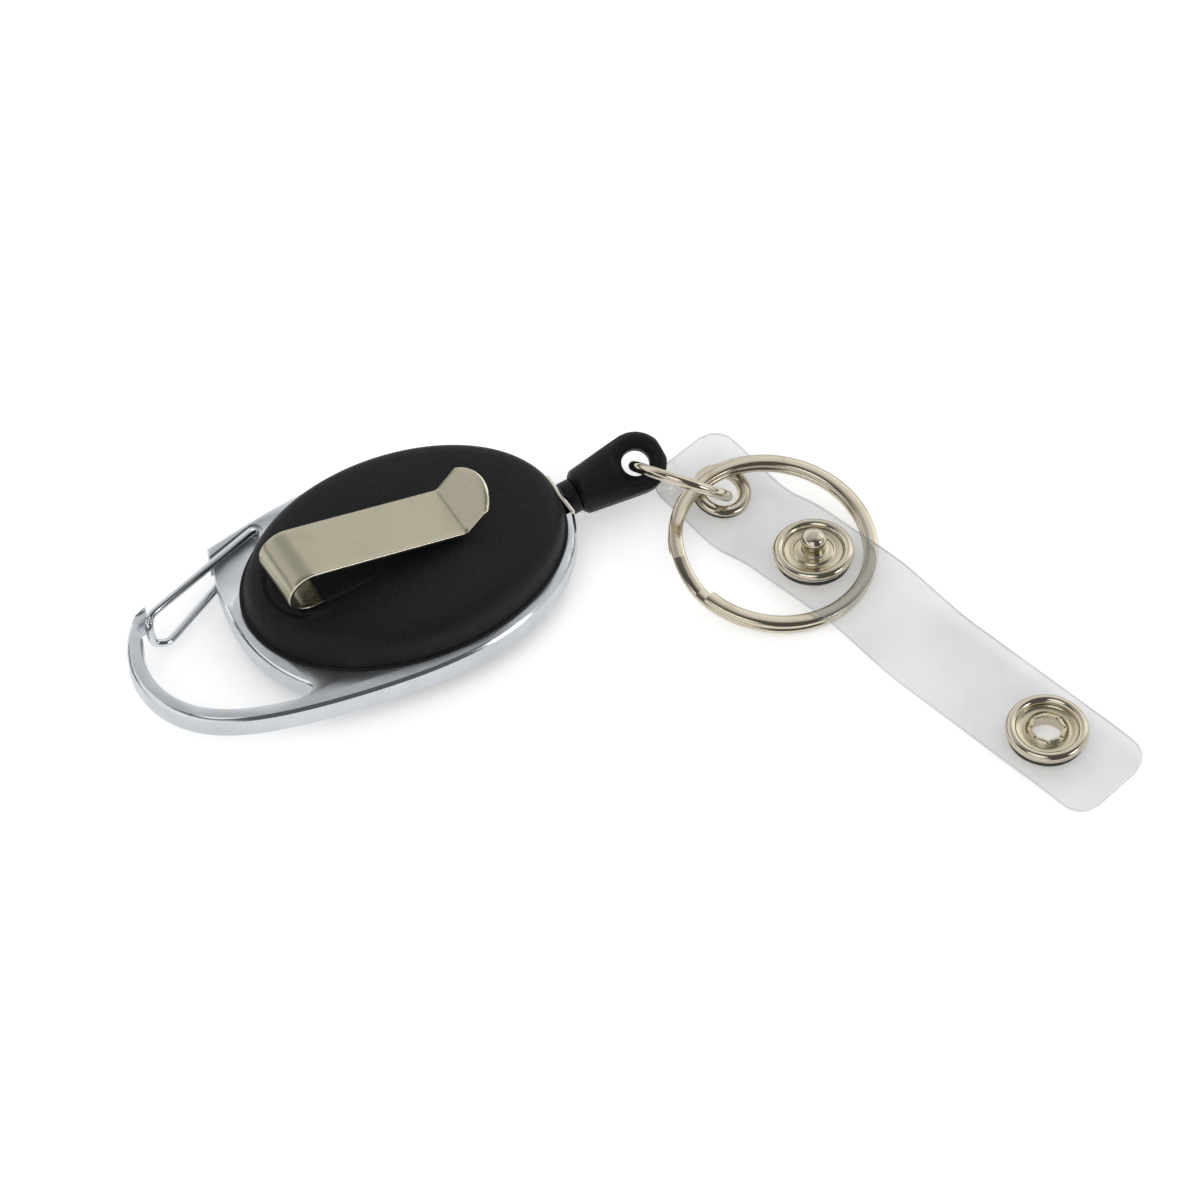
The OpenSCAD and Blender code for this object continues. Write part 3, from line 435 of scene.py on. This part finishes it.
def ease_edges(bm, width, over_angle=38):
    """Bevels the edges that turn more than the angle."""
    over = math.radians(over_angle)
    sharp = [e for e in bm.edges if len(e.link_faces) == 2 and e.calc_face_angle(0) > over]
    bmesh.ops.bevel(
        bm, geom=sharp, offset=width, offset_type="OFFSET", segments=2, profile=0.5,
        affect="EDGES", material=-1, clamp_overlap=True)


def turned(profile):
    """A bmesh spun from (radius, height) pairs in mm; a profile off the axis is closed on itself."""
    bm = bmesh.new()
    points = [bm.verts.new(mm(r, 0, z)) for r, z in profile]
    pairs = list(zip(points, points[1:]))
    if profile[0][0] > 0 or profile[-1][0] > 0:
        pairs.append((points[-1], points[0]))
    edges = [bm.edges.new(pair) for pair in pairs]
    bmesh.ops.spin(
        bm, geom=points + edges, cent=(0, 0, 0), axis=UP, angle=FULL_TURN, steps=96, use_merge=True)
    bmesh.ops.remove_doubles(bm, verts=bm.verts[:], dist=1e-7)
    bmesh.ops.recalc_face_normals(bm, faces=bm.faces[:])
    return bm


def rounded(points, radius, steps=4):
    """Rounds the inner corners of a profile."""
    made = [points[0]]
    for before, here, after in zip(points, points[1:], points[2:]):
        h = Vector(here)
        a, b = Vector(before) - h, Vector(after) - h
        cut = min(radius, a.length * 0.45, b.length * 0.45)
        p, q = h + a.normalized() * cut, h + b.normalized() * cut
        for i in range(steps + 1):
            t = i / steps
            made.append(tuple((1 - t) ** 2 * p + 2 * t * (1 - t) * h + t * t * q))
    made.append(points[-1])
    return made


def knot_height(s):
    """The height between the knots on straight lines, in mm."""
    s = max(0.0, min(STRAP_LENGTH, s))
    for (a, za), (b, zb) in zip(KNOTS, KNOTS[1:]):
        if s <= b:
            return za + (s - a) / (b - a) * (zb - za)
    return KNOTS[-1][1]


def film_height(s):
    """The height of the film's middle, evened out, in mm."""
    return sum(knot_height(s + step) for step in EVEN_STEPS) / len(EVEN_STEPS)


def film_inset(s):
    """How much the film's rounded corners draw its edge in, in mm."""
    e = min(s, STRAP_LENGTH - s)
    return 0.0 if e >= STRAP_CORNER else STRAP_CORNER - math.sqrt(max(0.0, e * (2 * STRAP_CORNER - e)))


def strap_place():
    """The strap's place and direction, as a matrix in metres."""
    return Matrix.Translation(mm(*STRAP_AT, 0)) @ Matrix.Rotation(math.radians(STRAP_HEADING), 4, "Z")


def on_strap(s):
    """The place and lean of a fastener on the strap, as a matrix in metres."""
    slope = math.atan2(film_height(s + LEAN_REACH) - film_height(s - LEAN_REACH), 2 * LEAN_REACH)
    along = Matrix.Translation(mm(s - EYELET_AT, 0, film_height(s)))
    return strap_place() @ along @ Matrix.Rotation(-slope, 4, "Y")


class BELTCLIP_OT_frame(bpy.types.Operator):
    """Chrome frame, gate wire and exit guide"""

    bl_idname = "beltclip.frame"
    bl_label = "Frame and gate"

    def execute(self, context):
        case = context.scene.beltclip_case
        chrome = chrome_finish("frame_chrome", case.chrome, 0.14, "frame_chrome")
        skin = chrome_finish("frame_side", shade(case.chrome, 0.84), 0.3, "frame_chrome", 0.9)
        flat = chrome_finish("frame_top", case.chrome, 0.36, "frame_chrome", 0.2)
        body = merged("frame")
        nose_y = NOSE_Y * MM
        for v in body.verts:
            if NOSE_FROM * MM < v.co.x < NOSE_TO * MM and v.co.y > nose_y:
                v.co.y = nose_y + (v.co.y - nose_y) * NOSE_SHARE
        ease_edges(body, case.frame_bevel, 30)
        for face in body.faces:
            rise = abs(face.normal.z)
            face.material_index = 1 if rise < SIDE_UNDER else 2 if rise > FLAT_OVER else 0
        made = shown(body, "dressed_frame", chrome, "case", ["frame"], smooth_under=30, recalc=False)
        made.data.materials.append(skin)
        made.data.materials.append(flat)
        bright = chrome_finish("gate_chrome", case.chrome, 0.05, "frame_chrome", 0.12)
        shown(merged("gate"), "dressed_gate", bright, "gate", ["gate"], smooth_under=50, recalc=False)
        plate = merged("exit_guide")
        ease_edges(plate, case.guide_bevel)
        nickel = nickel_finish("guide_nickel", (0.70, 0.67, 0.60), 0.2, "nickel", 0.6)
        shown(plate, "dressed_exit_guide", nickel, "case", ["exit_guide"], smooth_under=35, recalc=False)
        return {"FINISHED"}


class BELTCLIP_OT_case(bpy.types.Operator):
    """Black front and rear shells"""

    bl_idname = "beltclip.case"
    bl_label = "Case shells"

    def execute(self, context):
        case = context.scene.beltclip_case
        front = black_finish("front_black", case.plastic, 0.5, 5200.0, "case_black")
        # the rear shell is lighter below 10 mm: dust and a painted sheen on its lower rounding
        rear = black_finish(
            "rear_black", case.plastic, 0.5, 5200.0, "case_black", low=0.0072, high=0.0100,
            groove=self.pad_groove)
        for node, black in (("front_shell", front), ("rear_shell", rear)):
            shell = merged(node)
            ease_edges(shell, case.shell_bevel, 42)
            shown(shell, "dressed_" + node, black, "case", [node], smooth_under=42, recalc=False)
        return {"FINISHED"}

    @staticmethod
    def pad_groove(finish, where):
        """A shallow moulded line round the root of the belt clip, on the hook's side only."""
        centre_x, inner, middle, outer = -0.0132, 0.0055, 0.0060, 0.0067
        fades_from, fades_to = -0.0150, -0.0130
        x, y, _ = finish.axes(where)
        across = x - centre_x
        reach = x.math("SQRT", across * across + y * y)
        dip = reach.within(inner, middle) - reach.within(middle, outer)
        return 1.0 - dip * (1.0 - x.within(fades_from, fades_to))


class BELTCLIP_OT_reel(bpy.types.Operator):
    """Finishes for the reel's inner pieces and the cord"""

    bl_idname = "beltclip.reel"
    bl_label = "Reel inside the case"

    def execute(self, context):
        acetal = plain_finish("spool_acetal", (0.78, 0.78, 0.74), 0.0, 0.42, "spool_plastic")
        steel = plain_finish("spring_steel", (0.36, 0.37, 0.40), 1.0, 0.32, "spring_steel")
        zinc = plain_finish("post_zinc", (0.66, 0.67, 0.69), 1.0, 0.3, "zinc")
        cord = braid_finish("cord_black", "cord_black")
        finishes = {
            "spool": acetal, "spool_cap": acetal, "power_spring": steel, "center_post": zinc,
            "wound_cord": cord, "cord_lead": cord, "cord_end": cord,
        }
        for node, material in finishes.items():
            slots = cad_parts[node].data.materials
            slots.clear()
            slots.append(material)
        return {"FINISHED"}


class BELTCLIP_OT_clip(bpy.types.Operator):
    """Spring belt clip: one bent strip from the tab in its pocket to the raised lip"""

    bl_idname = "beltclip.clip"
    bl_label = "Belt clip"

    def execute(self, context):
        clip = context.scene.beltclip_clip
        bm = bmesh.new()
        low = U_HEIGHT - U_RADIUS
        start = [
            bm.verts.new((TAB_END * MM, (i / CLIP_STEPS - 0.5) * clip.width, low * MM))
            for i in range(CLIP_STEPS + 1)]
        line = [bm.edges.new(pair) for pair in zip(start, start[1:])]
        s, c = math.sin(math.radians(BLADE_SLOPE)), math.cos(math.radians(BLADE_SLOPE))
        line = self.straight(bm, line, U_AT - TAB_END, 0, pieces=4)
        line = self.curved(bm, line, U_AT, U_HEIGHT, 180 + BLADE_SLOPE, pieces=30)
        line = self.straight(bm, line, BLADE_RUN * c, -BLADE_RUN * s, pieces=8)
        end = line[0].verts[0].co
        fold_x, fold_z = end.x / MM + FOLD_RADIUS * s, end.z / MM + FOLD_RADIUS * c
        line = self.curved(bm, line, fold_x, fold_z, -(BLADE_SLOPE + LIP_RISE), pieces=14)
        r = math.radians(LIP_RISE)
        up_lip = Vector((math.cos(r), 0, math.sin(r)))
        foot = Vector((line[0].verts[0].co.x, 0, line[0].verts[0].co.z))
        self.straight(bm, line, LIP_RUN * up_lip.x, LIP_RUN * up_lip.z, pieces=5)
        for v in bm.verts:
            share = (v.co - foot).dot(up_lip) / (LIP_RUN * MM)
            if share > 0:
                cut = LIP_ROUND * MM - math.sqrt((LIP_ROUND * MM) ** 2 - v.co.y ** 2)
                v.co -= up_lip * (cut / up_lip.x * share)
        bmesh.ops.recalc_face_normals(bm, faces=bm.faces[:])
        satin = nickel_finish("clip_satin", clip.satin, 0.27, "clip_nickel", 0.2, grain_turn=90)
        # the strip's rim faces get the lighter edge colour: a painted highlight, with a real lower roughness
        cut_edge_highlight = nickel_finish("clip_edge_highlight", clip.cut_edge_highlight, 0.16, "clip_nickel", 0.1, grain_turn=90)
        made = shown(bm, "belt_clip", satin, None, ["clip_base", "clip_blade"], smooth_under=60, recalc=False)
        made.data.materials.append(cut_edge_highlight)
        modify(
            made, "wall", "SOLIDIFY", thickness=clip.thickness, offset=0, use_even_offset=True,
            material_offset_rim=1)
        modify(
            made, "edge", "BEVEL", width=clip.edge_bevel, segments=2, limit_method="ANGLE",
            angle_limit=math.radians(50))
        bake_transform(made)
        return {"FINISHED"}

    @staticmethod
    def straight(bm, line, x, z, pieces):
        """Draws the strip on by x and z, in mm."""
        for _ in range(pieces):
            grown = bmesh.ops.extrude_edge_only(bm, edges=line)["geom"]
            line = [g for g in grown if isinstance(g, bmesh.types.BMEdge) and len(g.link_faces) == 1
                    and all(v in grown for v in g.verts)]
            line = [e for e in line if abs(e.verts[0].co.x - e.verts[1].co.x) < 1e-9]
            bmesh.ops.translate(
                bm, verts=list({v for e in line for v in e.verts}), vec=mm(x / pieces, 0, z / pieces))
        return line

    @staticmethod
    def curved(bm, line, x, z, degrees, pieces):
        """Bends the strip on round a point at x and z, in mm."""
        last = bmesh.ops.spin(
            bm, geom=line, cent=mm(x, 0, z), axis=(0, 1, 0), angle=math.radians(degrees), steps=pieces)
        return [g for g in last["geom_last"] if isinstance(g, bmesh.types.BMEdge)]


class BELTCLIP_OT_fitting(bpy.types.Operator):
    """Moulded end fitting with its eye, and the neck behind it"""

    bl_idname = "beltclip.fitting"
    bl_label = "End fitting"

    def execute(self, context):
        case = context.scene.beltclip_case
        soft = black_finish("fitting_black", case.rubber, 0.42, 4200.0, "case_black")
        made = shown(
            merged("end_fitting"), "moulded_fitting", soft, "fitting", ["end_fitting"], smooth_under=180,
            recalc=False)
        modify(made, "cells", "REMESH", mode="VOXEL", voxel_size=case.rubber_voxel, use_smooth_shade=True)
        modify(made, "even", "SMOOTH", factor=0.5, iterations=4)
        neck = merged("neck")
        ease_edges(neck, case.neck_bevel)
        shown(neck, "moulded_neck", soft, "cord_tip", ["neck"], smooth_under=35, recalc=False)
        return {"FINISHED"}


class BELTCLIP_OT_rings(bpy.types.Operator):
    """Small round ring and the two-turn key ring"""

    bl_idname = "beltclip.rings"
    bl_label = "Rings"

    def execute(self, context):
        rings = context.scene.beltclip_rings
        upright = Matrix.Rotation(math.pi / 2, 3, "X")
        wire = bmesh.new()
        bmesh.ops.create_circle(wire, segments=20, radius=rings.link_wire / 2)
        bmesh.ops.rotate(wire, verts=wire.verts[:], cent=(0, 0, 0), matrix=upright)
        bmesh.ops.translate(wire, verts=wire.verts[:], vec=mm(LINK_DIAMETER / 2, 0, 0))
        bmesh.ops.spin(
            wire, geom=wire.verts[:] + wire.edges[:], cent=(0, 0, 0), axis=UP, angle=FULL_TURN, steps=128,
            use_merge=True)
        lean = (
            Matrix.Translation(mm(*LINK_AT)) @ Matrix.Rotation(math.radians(LINK_TURN), 4, "Z")
            @ Matrix.Rotation(math.radians(LINK_TILT), 4, "Y"))
        bmesh.ops.transform(wire, matrix=lean, verts=wire.verts[:])
        nickel = nickel_finish("ring_nickel", rings.nickel, 0.1, "nickel", 0.8)
        shown(wire, "round_ring", nickel, "link", ["small_ring"], smooth_under=60)

        coil = bmesh.new()
        bmesh.ops.create_circle(coil, segments=16, radius=0.5)
        bmesh.ops.rotate(coil, verts=coil.verts[:], cent=(0, 0, 0), matrix=upright)
        for v in coil.verts:
            v.co.x = math.copysign(abs(2 * v.co.x) ** COIL_SQUARE, v.co.x) * rings.coil_width / 2
            v.co.z = math.copysign(abs(2 * v.co.z) ** COIL_SQUARE, v.co.z) * rings.coil_height / 2
        pitch = rings.coil_height + COIL_GAP
        bmesh.ops.translate(
            coil, verts=coil.verts[:], vec=((KEY_DIAMETER - KEY_WIDTH) / 2 * MM, 0, pitch / 2))
        front = bmesh.ops.contextual_create(coil, geom=coil.edges[:])["faces"]
        for degrees, share in COIL_STRETCHES:
            steps = max(2, round(rings.coil_steps * degrees / 360))
            last = bmesh.ops.spin(
                coil, geom=front, cent=(0, 0, 0), axis=UP, angle=math.radians(degrees),
                dvec=UP * (-pitch * share / steps), steps=steps)
            front = [g for g in last["geom_last"] if isinstance(g, bmesh.types.BMFace)]
        bmesh.ops.rotate(
            coil, verts=coil.verts[:], cent=(0, 0, 0),
            matrix=Matrix.Rotation(math.radians(COIL_START), 3, "Z"))
        axis = Vector((math.cos(math.radians(KEY_AXIS)), math.sin(math.radians(KEY_AXIS)), 0))
        tilt = Matrix.Translation(mm(*KEY_AT)) @ Matrix.Rotation(math.radians(KEY_TILT), 4, axis)
        bmesh.ops.transform(coil, matrix=tilt, verts=coil.verts[:])
        worn = nickel_finish("coil_nickel", rings.nickel, 0.09, "nickel", 0.8)
        shown(coil, "split_key_ring", worn, "ring", ["key_ring"], smooth_under=50)
        return {"FINISHED"}


class BELTCLIP_OT_strap(bpy.types.Operator):
    """Clear strap: one soft film laid at the knots' heights, with holes for the eyelet and the snap"""

    bl_idname = "beltclip.strap"
    bl_label = "Strap"

    def execute(self, context):
        strap = context.scene.beltclip_strap
        cells = (round(STRAP_LENGTH * MM / strap.cell), round(STRAP_WIDTH * MM / strap.cell))
        bm = bmesh.new()
        bmesh.ops.create_grid(bm, x_segments=cells[0], y_segments=cells[1], size=0.5)
        for v in bm.verts:
            v.co.x = (v.co.x + 0.5) * STRAP_LENGTH * MM
            v.co.y = v.co.y * STRAP_WIDTH * MM
        for s, radius in HOLES:
            centre = mm(s, 0, 0)
            inside = [f for f in bm.faces if (f.calc_center_median() - centre).length < radius * MM]
            bmesh.ops.delete(bm, geom=inside, context="FACES")
        for v in bm.verts:
            s = v.co.x / MM
            v.co.y *= 1 - film_inset(s) / (STRAP_WIDTH / 2)
            v.co.z = film_height(s) * MM
            v.co.x = (s - EYELET_AT) * MM
        bmesh.ops.transform(bm, verts=bm.verts[:], matrix=strap_place())
        clear = film_finish("clear_vinyl", strap.film, strap.haze, "clear_vinyl")
        rim = film_finish("vinyl_edge", strap.rim, strap.rim_haze, "clear_vinyl")
        made = shown(bm, "clear_strap", clear, None, ["strap_tab_part", "strap_tail_part"], smooth_under=60)
        made.data.materials.append(rim)
        modify(made, "wall", "SOLIDIFY", thickness=strap.thickness, offset=0, material_offset_rim=1)
        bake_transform(made)
        return {"FINISHED"}


class BELTCLIP_OT_fasteners(bpy.types.Operator):
    """Eyelet, snap stud and snap socket, each in two pressed pieces"""

    bl_idname = "beltclip.fasteners"
    bl_label = "Eyelet and snap"

    def execute(self, context):
        rings = context.scene.beltclip_rings
        nickel = nickel_finish("snap_nickel", rings.nickel, 0.11, "nickel", 0.5)
        brass = nickel_finish("dish_nickel", rings.dish, 0.24, "nickel", 0.3)
        barrel = arc((BARREL_AT, TOP), BARREL_RADII, 180, 0)
        washer = [
            (2.4, -TOP), (4.0, -TOP), (4.0, -TOP - 0.15), (3.6, -TOP - 0.45), (2.75, -TOP - 0.45),
            (2.4, -TOP - 0.22)]
        post = [
            (3.85, TOP + 0.85), (3.3, TOP + 0.68), (2.8, TOP + 0.66), (2.5, TOP + 0.92), (2.0, TOP + 0.95),
            (1.56, TOP + 1.1), (1.5, TOP + 2.3), (1.7, TOP + 2.62), (1.7, TOP + 3.15), (1.35, TOP + 3.7),
            (0.7, TOP + 3.9), (0, TOP + 3.9)]
        collar = [
            (3.75, TOP + 0.42), (3.2, TOP + 0.34), (2.78, TOP + 0.42), (2.5, TOP + 0.92), (2.2, TOP + 1.02),
            (1.9, TOP + 1.0), (1.87, TOP + 0.55), (2.3, TOP + 0.45)]
        rim = arc((RIM_AT, TOP + RIM_RADIUS), (RIM_RADIUS, RIM_RADIUS), -90, 195)
        stud = [(0, TOP), *rim, *rounded(post, 0.16, 3)]
        socket = [(2.3, TOP), *rim, *rounded(collar, 0.12, 3)]

        def placed(bm, s, name, body, node):
            bmesh.ops.transform(bm, matrix=on_strap(s), verts=bm.verts[:])
            return shown(bm, name, nickel, body, [node], smooth_under=40)

        def cap(neck, hole, well):
            return turned(rounded([
                (hole, -TOP - 0.9), (4.5, -TOP - 0.9), (5.1, -TOP), (neck, -TOP), (neck, TOP - 0.02),
                (well, TOP - 0.02)], 0.12))

        sleeve = turned([(2.4, -TOP), *barrel, (2.75, TOP), (2.75, -TOP)])
        placed(sleeve, EYELET_AT, "eyelet_barrel", "strap", "eyelet")
        placed(turned(rounded(washer, 0.1)), EYELET_AT, "eyelet_washer", "strap", "eyelet_back")
        cup = placed(turned(stud), STUD_AT, "stud_cup_and_post", "strap", "snap_stud")
        self.tint_dish(cup, STUD_AT, brass)
        placed(cap(1.525, 0, 0), STUD_AT, "stud_cap", "strap", "stud_back")
        cup = placed(self.crimped(turned(socket)), SOCKET_AT, "socket_cup", "strap_tail", "snap_socket")
        self.tint_dish(cup, SOCKET_AT, brass)
        placed(cap(2.3, 2.3, 2.25), SOCKET_AT, "socket_cap", "strap_tail", "socket_back")
        return {"FINISHED"}

    @staticmethod
    def crimped(bm):
        """Gives the socket's collar its eight flat sides, with a dip at each corner."""
        for v in bm.verts:
            angle, radius = math.atan2(v.co.y, v.co.x), math.hypot(v.co.x, v.co.y)
            if radius < COLLAR_REACH * MM and v.co.z > (TOP + COLLAR_FROM) * MM:
                side = (angle + FULL_TURN) % (2 * COLLAR_HALF_SIDE) - COLLAR_HALF_SIDE
                pull = math.cos(COLLAR_HALF_SIDE) / math.cos(side)
                v.co.x, v.co.y = v.co.x * pull * COLLAR_WIDER, v.co.y * pull * COLLAR_WIDER
                v.co.z -= COLLAR_DIP * MM * max(0.0, abs(side) / COLLAR_HALF_SIDE * 4 - 3)
        return bm

    @staticmethod
    def tint_dish(made, s, brass):
        """Gives the dish inside a snap's rim its brassy finish, by how far each face lies from the axis."""
        made.data.materials.append(brass)
        back = on_strap(s).inverted()
        for face in made.data.polygons:
            here = back @ face.center
            inside = math.hypot(here.x, here.y) < DISH_RADIUS * MM
            level = (TOP + DISH_FROM) * MM < here.z < (TOP + DISH_TO) * MM
            face.material_index = 1 if inside and level else 0


class BELTCLIP_OT_stage(bpy.types.Operator):
    """Pale floor, soft studio light and the camera"""

    bl_idname = "beltclip.stage"
    bl_label = "Stage"

    def execute(self, context):
        scene = context.scene
        stage = scene.beltclip_stage
        scene.view_settings.view_transform = "Standard"
        bm = bmesh.new()
        bmesh.ops.create_grid(bm, x_segments=1, y_segments=1, size=FLOOR_HALF)
        mesh = bpy.data.meshes.new("floor")
        bm.to_mesh(mesh)
        bm.free()
        floor = bpy.data.objects.new("floor", mesh)
        floor.location.z = -FLOOR_DROP
        scene.collection.objects.link(floor)
        finish = Finish("floor_white", Roughness=0.9)
        cloud = finish.noise(finish.place(), scale=40.0)
        finish.feed("Base Color", finish.blend(cloud, shade(stage.floor, 0.99), stage.floor))
        finish.feed("Emission Color", (1, 1, 1))
        finish.feed("Emission Strength", self.seen(finish) * FLOOR_GLOW)
        mesh.materials.append(finish.material)
        self.world(scene)
        for name, power in (("key", stage.key_power), ("fill", stage.fill_power), ("side", stage.side_power)):
            self.lamp(scene, name, *LAMPS[name], power)
        self.camera(scene)
        return {"FINISHED"}

    @staticmethod
    def camera(scene):
        """The photograph's camera."""
        data = bpy.data.cameras.new("photo_camera")
        data.sensor_width = CAMERA_SENSOR
        data.lens = CAMERA_LENS
        data.clip_start = 0.01
        camera = bpy.data.objects.new("photo_camera", data)
        turn, rise = math.radians(CAMERA_TURN), math.radians(CAMERA_RISE)
        back = Vector((
            math.sin(turn) * math.cos(rise), -math.cos(turn) * math.cos(rise), math.sin(rise)))
        camera.location = mm(*CAMERA_TARGET) + back * CAMERA_DISTANCE
        camera.rotation_euler = back.to_track_quat("Z", "Y").to_euler()
        scene.collection.objects.link(camera)
        scene.camera = camera

    @staticmethod
    def seen(finish):
        """1 for rays that see the background straight, in a reflection or through film."""
        path = finish.tree.nodes.new("ShaderNodeLightPath")
        camera, glossy, through = (
            Wire(finish, path.outputs[n]) for n in ("Is Camera Ray", "Is Glossy Ray", "Is Transmission Ray"))
        return camera.math("MAXIMUM", camera.math("MAXIMUM", camera, glossy), through)

    @staticmethod
    def world(scene):
        """A soft sky, and for reflections alone dark walls with three bright panels."""
        scene.world = bpy.data.worlds.new("studio")
        scene.world.use_nodes = True
        tree = scene.world.node_tree
        tree.nodes.clear()
        maker = Finish.__new__(Finish)
        maker.tree = tree
        x, y, height = maker.axes(maker.node("ShaderNodeTexCoord", output=0))
        sky = height.within(-0.05, 0.75, 0.62, 0.84)
        facing = (x * 0.3 + y * 0.95).within(0.08, 0.38)
        behind = facing * (height.within(0.10, 0.24) * 0.98 - height.within(0.5, 0.85) * 0.52)
        left = (0.0 - x - y * 0.3).within(0.6, 0.72) * height.within(0.12, 0.2)
        left = left * (1.0 - height.within(0.5, 0.6))
        right = (x - y * 0.4).within(0.72, 0.85) * height.within(0.05, 0.12) * 0.6
        mirrored = behind + left + right + 0.11
        path = tree.nodes.new("ShaderNodeLightPath").outputs
        glossy, direct, through = (
            Wire(maker, path[n]) for n in ("Is Glossy Ray", "Is Camera Ray", "Is Transmission Ray"))
        strength = sky + glossy * (mirrored - sky) + direct * 0.5 + through * 0.5
        glow = maker.node("ShaderNodeBackground", {}, {"Color": (1, 1, 1), "Strength": strength})
        output = tree.nodes.new("ShaderNodeOutputWorld")
        tree.links.new(glow.socket, output.inputs["Surface"])

    @staticmethod
    def lamp(scene, name, place, diameter, power):
        """A round area lamp that faces the object."""
        data = bpy.data.lights.new(name, "AREA")
        data.shape = "DISK"
        data.size = diameter
        data.energy = power
        made = bpy.data.objects.new(name, data)
        made.location = place
        made.rotation_euler = (Vector(place) - mm(*LAMPS_FACE)).to_track_quat("Z", "Y").to_euler()
        scene.collection.objects.link(made)


STEPS = ("frame", "case", "reel", "clip", "fitting", "rings", "strap", "fasteners", "stage")


class BELTCLIP_PT_panel(bpy.types.Panel):
    """The pieces of the belt key clip"""

    bl_label = "Belt key clip"
    bl_idname = "BELTCLIP_PT_panel"
    bl_space_type = "VIEW_3D"
    bl_region_type = "UI"
    bl_category = "Belt Clip"

    def draw(self, context):
        for step in STEPS:
            self.layout.operator("beltclip." + step)
        for group in ("case", "clip", "rings", "strap", "stage"):
            settings = getattr(context.scene, "beltclip_" + group)
            box = self.layout.box()
            for key in settings.__annotations__:
                box.prop(settings, key)


GROUPS = {
    "beltclip_case": CaseSettings, "beltclip_clip": ClipSettings, "beltclip_rings": RingSettings,
    "beltclip_strap": StrapSettings, "beltclip_stage": StageSettings,
}
CLASSES = (
    *GROUPS.values(), BELTCLIP_OT_frame, BELTCLIP_OT_case, BELTCLIP_OT_reel, BELTCLIP_OT_clip,
    BELTCLIP_OT_fitting, BELTCLIP_OT_rings, BELTCLIP_OT_strap, BELTCLIP_OT_fasteners, BELTCLIP_OT_stage,
    BELTCLIP_PT_panel,
)


def register():
    for cls in CLASSES:
        bpy.utils.register_class(cls)
    for name, group in GROUPS.items():
        setattr(bpy.types.Scene, name, PointerProperty(type=group))


def unregister():
    for name in GROUPS:
        delattr(bpy.types.Scene, name)
    for cls in reversed(CLASSES):
        bpy.utils.unregister_class(cls)


def main():
    register()
    for step in STEPS:
        getattr(bpy.ops.beltclip, step)()


if __name__ == "__main__":
    main()
